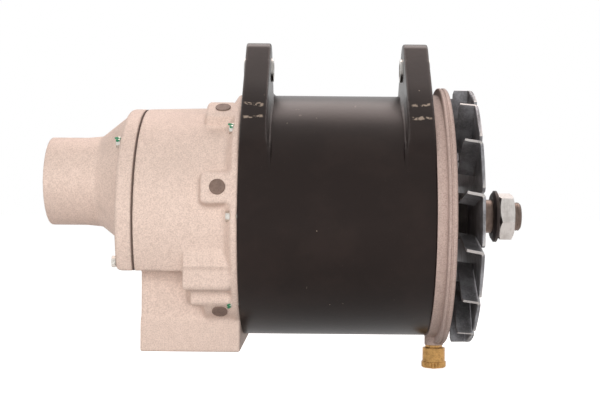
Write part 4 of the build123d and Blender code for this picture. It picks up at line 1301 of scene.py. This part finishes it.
@dataclass
class Fan:
    """Pressed fan: a hub plate and folded blades with their petals, all of sheet steel."""

    machine: Machine
    blades: int = 15
    first_deg: float = 9.8
    plate: float = 2.3
    depth: float = 14.0
    fold: float = 2.4
    fold_steps: int = 6
    lean_deg: float = 10.0
    blade_shares: tuple[float, ...] = (0.35, 0.7, 1.0)
    root: float = 68.0
    tuck: float = 6.0
    petal_deg: float = 22.3
    petal_steps: int = 4
    corner: float = 2.2
    tip_corner: float = 1.2
    stations: int = 14
    hub_bore: float = 14.35
    hub_lap: float = 0.3
    hub_spare: float = 0.02
    top: float = field(init=False)
    rim: float = field(init=False)

    def __post_init__(self) -> None:
        """Takes the front face and the outer radius from the frame."""
        low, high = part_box("fan")
        self.top, self.rim = high.x / MM, -low.y / MM

    def section(self) -> list[Flat]:
        """Middle line of the fold and the blade.

        Returns:
            (tangential, axial) points from the petal, round the fold and out to the free edge.
        """
        lean = math.radians(self.lean_deg)
        points = []
        for i in range(self.fold_steps + 1):
            turn = (math.pi / 2) * (1 - i / self.fold_steps)
            points.append((-self.fold + self.fold * math.cos(turn), -self.fold + self.fold * math.sin(turn)))
        reach = self.depth - self.fold
        for share in self.blade_shares:
            points.append((math.tan(lean) * reach * share, -self.fold - reach * share))
        return points

    def middle_line(self, radius: float) -> list[Flat]:
        """Middle line of petal and blade at a radius, trimmed to the rounded corners.

        Args:
            radius: the distance from the shaft.

        Returns:
            (tangential, axial) points from the petal's free edge to the blade's.
        """
        line = self.section()
        share = max(0.0, (radius - (self.rim - self.corner)) / self.corner)
        trim = self.corner * (1 - math.sqrt(max(0.0, 1 - share * share)))
        edge = -radius * math.sin(math.radians(self.petal_deg)) + trim
        petal = [(edge + (line[0][0] - edge) * k / self.petal_steps, 0.0) for k in range(self.petal_steps)]
        across, along = line.pop()
        return petal + line + [(across, along + max(0.0, radius - (self.rim - self.tip_corner)))]

    def outline(self, radius: float) -> list[Point]:
        """One closed ring round the sheet at a radius.

        Args:
            radius: the distance from the shaft.

        Returns:
            Points in metres about the shaft.
        """
        half = self.plate / 2
        path = self.middle_line(radius)
        upper, lower = [], []
        for i, (t, x) in enumerate(path):
            before, after = path[max(i - 1, 0)], path[min(i + 1, len(path) - 1)]
            dt, dx = after[0] - before[0], after[1] - before[1]
            size = math.hypot(dt, dx)
            normal = (-dx / size * half, dt / size * half)
            upper.append((t + normal[0], x + normal[1]))
            lower.append((t - normal[0], x - normal[1]))
        ring = []
        for t, x in upper + list(reversed(lower)):
            across = math.sqrt(max(radius * radius - min(t, 0.0) ** 2, 1.0))
            ring.append(((self.top - half + x) * MM, -across * MM, t * MM))
        return ring

    def build(self) -> None:
        """Makes the fan and files it on the rotor."""
        metal = self.machine.finish["fan_plate"]
        step = (self.rim - self.root + self.tuck) / (self.stations - 1)
        rings = [self.outline(self.root - self.tuck + step * i) for i in range(self.stations)]
        blade = shell_from_rings("fan_blade", rings)
        shade_by_angle(blade)
        blades = ring_of("fan_blades", mesh_object("blade", blade), self.blades,
                         -math.radians(self.first_deg), tuple(self.machine.axis), Axis.SHAFT, metal)
        back, reach = self.top - self.plate - self.hub_spare, self.root + self.hub_lap
        profile = [(back, self.hub_bore), (back, reach), (self.top, reach), (self.top, self.hub_bore)]
        hub = lathe("fan_hub", profile)
        shade_by_angle(hub)
        plate = mesh_object("fan_hub_plate", self.machine.on_shaft(hub), metal)
        for piece in (blades, plate):
            self.machine.keep(piece, "rotor", "fan_plate", "fan")


@dataclass
class ShaftThread:
    """Rolled thread on the bare end of the shaft."""

    machine: Machine
    pitch: float = 2.0
    crest: float = 12.25
    height: float = 0.75
    under_nut: float = 3.0
    end_gap: float = 1.4
    turn_steps: int = 48
    ridge_sides: int = 4

    def build(self) -> None:
        """Makes the helical ridge with Geometry Nodes and files it on the rotor."""
        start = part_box("shaft_nut")[1].x / MM - self.under_nut
        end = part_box("rotor_shaft")[1].x / MM - self.end_gap
        inputs = {"Turns": (end - start) / self.pitch, "Radius": (self.crest - self.height / 2) * MM,
                  "Length": (end - start) * MM, "Ridge": self.height / 2 * MM,
                  "Finish": self.machine.finish["shaft_steel"]}
        p = Pattern("shaft_thread_tree", inputs)
        spiral = p.first("GeometryNodeCurveSpiral", None,
                         {"Resolution": self.turn_steps, "Rotations": p.given("Turns"),
                          "Height": p.given("Length"), "Start Radius": p.given("Radius"),
                          "End Radius": p.given("Radius")})
        ridge = p.first("GeometryNodeCurvePrimitiveCircle", None,
                        {"Resolution": self.ridge_sides, "Radius": p.given("Ridge")})
        wound = p.first("GeometryNodeCurveToMesh", None,
                        {"Curve": spiral, "Profile Curve": ridge, "Fill Caps": True})
        place = (start * MM, self.machine.axis.y, self.machine.axis.z)
        p.close(p.first("GeometryNodeTransform", None,
                        {"Geometry": wound, "Translation": place, "Rotation": (0.0, math.pi / 2, 0.0)}))
        self.machine.keep(p.run("shaft_thread"), "rotor", "shaft_steel")


@dataclass
class VentDiscs:
    """Woven discs that close the six vents on the rear housing's square pads."""

    machine: Machine
    radius: float = 6.2
    rise: float = 1.5
    rim_drop: float = 0.45
    sunk: float = 1.2
    weave: float = 1.15
    weave_stretch: float = 1.7
    weave_height: float = 0.13
    weave_drop: float = 0.2
    weave_shares: Flat = (0.6, 0.4)
    rings: int = 16
    spokes: int = 48
    pad_radius: float = 100.6

    def height(self, u: float, v: float, rim: bool) -> float:
        """Height of the weave.

        Args:
            u: distance from the middle along one side.
            v: distance from the middle along the other.
            rim: whether the point lies on the pressed edge.

        Returns:
            The height.
        """
        if rim:
            return self.rise - self.rim_drop
        across, along = (u + v) / math.sqrt(2), (u - v) / math.sqrt(2)
        weft, warp = self.weave_shares
        wave = math.cos(math.tau * across / self.weave) * weft
        wave += math.cos(math.tau * along / (self.weave * self.weave_stretch)) * warp
        return self.rise + self.weave_height * wave - self.weave_drop

    def disc(self) -> bpy.types.Mesh:
        """One disc about the origin with +Z outwards, its top a weave of crossing wires.

        Returns:
            Its closed mesh.
        """
        bm = bmesh.new()
        rows = []
        for i in range(1, self.rings + 1):
            reach = self.radius * i / self.rings
            flat = [polar(reach, 360.0 * k / self.spokes) for k in range(self.spokes)]
            rows.append([bm.verts.new(in_metres(u, v, self.height(u, v, i == self.rings))) for u, v in flat])
        centre = bm.verts.new(in_metres(0.0, 0.0, self.height(0.0, 0.0, False)))
        foot = [bm.verts.new((vert.co.x, vert.co.y, -self.sunk * MM)) for vert in rows[-1]]
        for k in range(self.spokes):
            j = (k + 1) % self.spokes
            bm.faces.new((centre, rows[0][k], rows[0][j]))
            for low, high in zip(rows, [*rows[1:], foot]):
                bm.faces.new((low[k], high[k], high[j], low[j]))
        bm.faces.new(list(reversed(foot)))
        bmesh.ops.recalc_face_normals(bm, faces=bm.faces)
        mesh = mesh_of("vent_disc", bm)
        mesh.shade_smooth()
        return mesh

    def build(self) -> None:
        """Makes the six discs and files them on the housing."""
        low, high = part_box("vent_gauze")
        middle = Vector(((low.x + high.x) / 2, 0.0, 0.0)) + self.machine.axis
        spots = []
        for angle in PAD_ANGLES:
            turn = math.radians(angle)
            out = Vector((0.0, math.cos(turn), math.sin(turn)))
            spots.append((tuple(middle + out * (self.pad_radius * MM)), (turn - math.pi / 2, 0.0, 0.0)))
        gauze = self.machine.finish["vent_gauze"]
        discs = scattered("vent_discs", mesh_object("disc", self.disc()), spots, gauze)
        self.machine.keep(discs, "housing", "vent_gauze", "vent_gauze")


@dataclass
class PaintDabs:
    """Dabs of green marking paint on two housing screws and one cover screw.

    Each lobe of a dab's outline holds its count, its start in radians and its size.
    """

    machine: Machine
    reach: float = 2.3
    lobes: tuple[tuple[int, float, float], ...] = ((3, 0.6, 0.5), (5, 0.0, 0.25))
    stretch: float = 1.25
    thick: float = 0.45
    screw_angles: Flat = (45.0, -45.0)
    screw_circle: float = 97.6
    screw_rise: float = 3.9
    screw_spin: float = 0.3
    cover_screw: float = 58.0
    cover_rise: Flat = (3.0, 2.6)
    cover_spin: float = 0.2
    forward: float = 1.6

    def blob(self) -> bpy.types.Mesh:
        """One uneven flat dab about the origin with +Z outwards.

        Returns:
            Its closed mesh.
        """
        bm = bmesh.new()
        bmesh.ops.create_icosphere(bm, subdivisions=3, radius=1.0)
        for vert in bm.verts:
            angle = math.atan2(vert.co.y, vert.co.x)
            reach = self.reach + sum(size * math.sin(n * angle + start) for n, start, size in self.lobes)
            x, y, z = vert.co
            vert.co = Vector((x * reach, y * reach * self.stretch, z * self.thick)) * MM
        mesh = mesh_of("paint_dab", bm)
        mesh.shade_smooth()
        return mesh

    def build(self) -> None:
        """Lays the dabs and files them on the housing."""
        axis = self.machine.axis
        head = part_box("housing_screws")[0].x + self.forward * MM
        spots = []
        for angle in self.screw_angles:
            turn = math.radians(angle)
            out = Vector((0.0, -math.cos(turn), math.sin(turn)))
            place = Vector((head, 0.0, 0.0)) + out * (self.screw_circle + self.screw_rise) * MM + axis
            spots.append((tuple(place), (math.pi / 2 - turn, 0.0, self.screw_spin)))
        y, z = (self.cover_screw + rise for rise in self.cover_rise)
        place = (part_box("cover_screws")[0].x + self.forward * MM, -y * MM, axis.z + z * MM)
        spots.append((place, (math.pi / 4, 0.0, self.cover_spin)))
        paint = self.machine.finish["marking_paint"]
        dabs = scattered("paint_dabs", mesh_object("dab", self.blob()), spots, paint)
        self.machine.keep(dabs, "housing", "zinc_screw")


@dataclass
class GreaseCap:
    """Fine straight knurl on the brass screw cap of the greaser."""

    machine: Machine
    ridges: int = 44
    radius: float = 10.15
    foot: float = 0.5
    height: float = 4.2
    rise: float = 0.30
    sunk: float = 0.3
    half_width: float = 0.42
    run_out: float = 0.12

    def build(self) -> None:
        """Makes the knurl and files it on the cap's body."""
        low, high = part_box("grease_cup_cap")
        rings = []
        for share, lift in ((0.0, 0.0), (self.run_out, self.rise), (1 - self.run_out, self.rise), (1.0, 0.0)):
            z = low.z + (self.foot + self.height * share) * MM
            inner, side = (self.radius - self.sunk) * MM, self.half_width * MM
            rings.append([(inner, -side, z), ((self.radius + lift) * MM, 0.0, z), (inner, side, z)])
        ridge = mesh_object("ridge", shell_from_rings("knurl_ridge", rings))
        centre = ((low.x + high.x) / 2, (low.y + high.y) / 2, 0.0)
        knurl = ring_of("grease_cap_knurl", ridge, self.ridges, 0.0, centre, Axis.UPRIGHT,
                        self.machine.finish["brass"])
        self.machine.keep(knurl, "grease_cap", "brass")


@dataclass
class BrushSprings:
    """Coil springs behind the two brushes, which shorten as their brush is pushed back; these copies keep the
    frame's length.
    """

    machine: Machine
    travel: float = 4.0
    crisp_deg: float = 45.0

    def build(self) -> None:
        """Copies each spring from the frame and fixes it to the housing."""
        for side in ("front", "rear"):
            node, name = f"{side}_brush_spring", f"{side}_coil_spring"
            mesh = merged_copy(name, self.machine.frame["nodes"][node].data)
            shade_by_angle(mesh, self.crisp_deg)
            spring = mesh_object(name, mesh, self.machine.finish["spring_steel"])
            self.machine.keep(spring, "housing", "spring_steel", node)
            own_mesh(spring)


# ---------------------------------------------------------------- studio
@dataclass(frozen=True)
class Lamp:
    """A soft rectangular lamp, in metres and watts."""

    name: str
    place: Point
    size: Flat
    watts: float
    colour: Rgb = (1.0, 1.0, 1.0)
    mirrored: bool = True

    def hang(self, aim: Point) -> None:
        """Hangs the lamp.

        Args:
            aim: the point that it faces.
        """
        data = bpy.data.lights.new(self.name, "AREA")
        data.shape, data.size, data.size_y, data.energy = "RECTANGLE", *self.size, self.watts
        data.color = self.colour
        lamp = bpy.data.objects.new(self.name, data)
        lamp.location = self.place
        lamp.rotation_euler = (Vector(aim) - Vector(self.place)).to_track_quat("-Z", "Y").to_euler()
        lamp.visible_glossy = self.mirrored
        bpy.context.scene.collection.objects.link(lamp)


@dataclass
class Studio:
    """Pale floor, white surround, soft lamps and the camera, all in metres."""

    machine: Machine
    distance: float = 0.955
    side: float = -0.0135
    rise: float = 0.017
    focal_mm: float = 66.7
    sensor_mm: float = 36.0
    shift: Flat = (-0.0333, -0.0083)
    roll_deg: float = 0.5
    clip: Flat = (0.05, 20.0)
    aim_x: float = -0.04
    lamps: tuple[Lamp, ...] = (Lamp("overhead", (0.0, 0.36, 0.62), (1.4, 0.5), 5.6, (1.0, 0.86, 0.82)),
                               Lamp("front", (-0.25, -1.7, -0.05), (2.4, 1.8), 52.0, mirrored=False))
    floor_reach: float = 6.0
    floor_gap: float = 0.0005
    floor_glow: float = 0.93
    floor_mirrored: float = 0.6
    floor_grey: float = 0.72
    fill: float = 0.14

    def camera(self) -> None:
        """Sets the camera square to the machine's side."""
        data = bpy.data.cameras.new("camera")
        data.lens, data.sensor_width = self.focal_mm, self.sensor_mm
        data.shift_x, data.shift_y = self.shift
        data.clip_start, data.clip_end = self.clip
        cam = bpy.data.objects.new("camera", data)
        cam.location = (self.side, -self.distance, self.machine.axis.z + self.rise)
        cam.rotation_euler = (math.pi / 2, -math.radians(self.roll_deg), 0.0)
        bpy.context.scene.collection.objects.link(cam)
        bpy.context.scene.camera = cam

    def floor(self) -> None:
        """Lays the pale floor at the machine's lowest point."""
        low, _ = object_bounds()
        bm = bmesh.new()
        bmesh.ops.create_grid(bm, x_segments=1, y_segments=1, size=self.floor_reach)
        mesh = mesh_of("floor", bm)
        mesh.transform(Matrix.Translation((0.0, 0.0, low[2] - self.floor_gap)))
        s = Shader.material("floor_paper")
        path = s.node("ShaderNodeLightPath").outputs
        seen = Signal(s, path["Is Camera Ray"]) + Signal(s, path["Is Glossy Ray"]) * self.floor_mirrored
        glow = s.first("ShaderNodeEmission", None,
                       {"Color": (1.0, 1.0, 1.0), "Strength": seen * self.floor_glow})
        paper = s.first("ShaderNodeBsdfDiffuse", None, {"Color": (self.floor_grey,) * 3})
        s.close(s.first("ShaderNodeAddShader", None, {0: glow, 1: paper}))
        mesh_object("floor", mesh, s.owner)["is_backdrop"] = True

    def surround(self) -> None:
        """White world for camera, gloss and glass, and a plain soft fill for the rest."""
        world = bpy.data.worlds.new("surround")
        bpy.context.scene.world = world
        s = Shader(world)
        path = s.node("ShaderNodeLightPath").outputs
        rays = ("Is Camera Ray", "Is Glossy Ray", "Is Transmission Ray")
        camera, glossy, clear = (Signal(s, path[ray]) for ray in rays)
        seen = s.maths("MAXIMUM", s.maths("MAXIMUM", camera, glossy), clear)
        level = s.first("ShaderNodeMapRange", None, {"Value": seen, "To Min": self.fill, "To Max": 1.0})
        back = s.first("ShaderNodeBackground", None, {"Color": (1.0, 1.0, 1.0), "Strength": level})
        s.close(back, "ShaderNodeOutputWorld")

    def build(self) -> None:
        """Sets up the whole studio."""
        self.camera()
        self.floor()
        self.surround()
        for lamp in self.lamps:
            lamp.hang((self.aim_x, 0.0, self.machine.axis.z))
        bpy.context.scene.view_settings.view_transform = "Standard"


def main() -> None:
    """Builds every sub-assembly in order."""
    logging.basicConfig(level=logging.INFO, format="%(name)s %(message)s")
    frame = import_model()
    machine = Machine(frame, all_finishes())
    Castings(machine).dress()
    for part in (Yoke, RearHousing, EndCover, Fan, ShaftThread, VentDiscs, PaintDabs, GreaseCap,
                 BrushSprings):
        part(machine).build()
    Studio(machine).build()


if __name__ == "__main__":
    main()
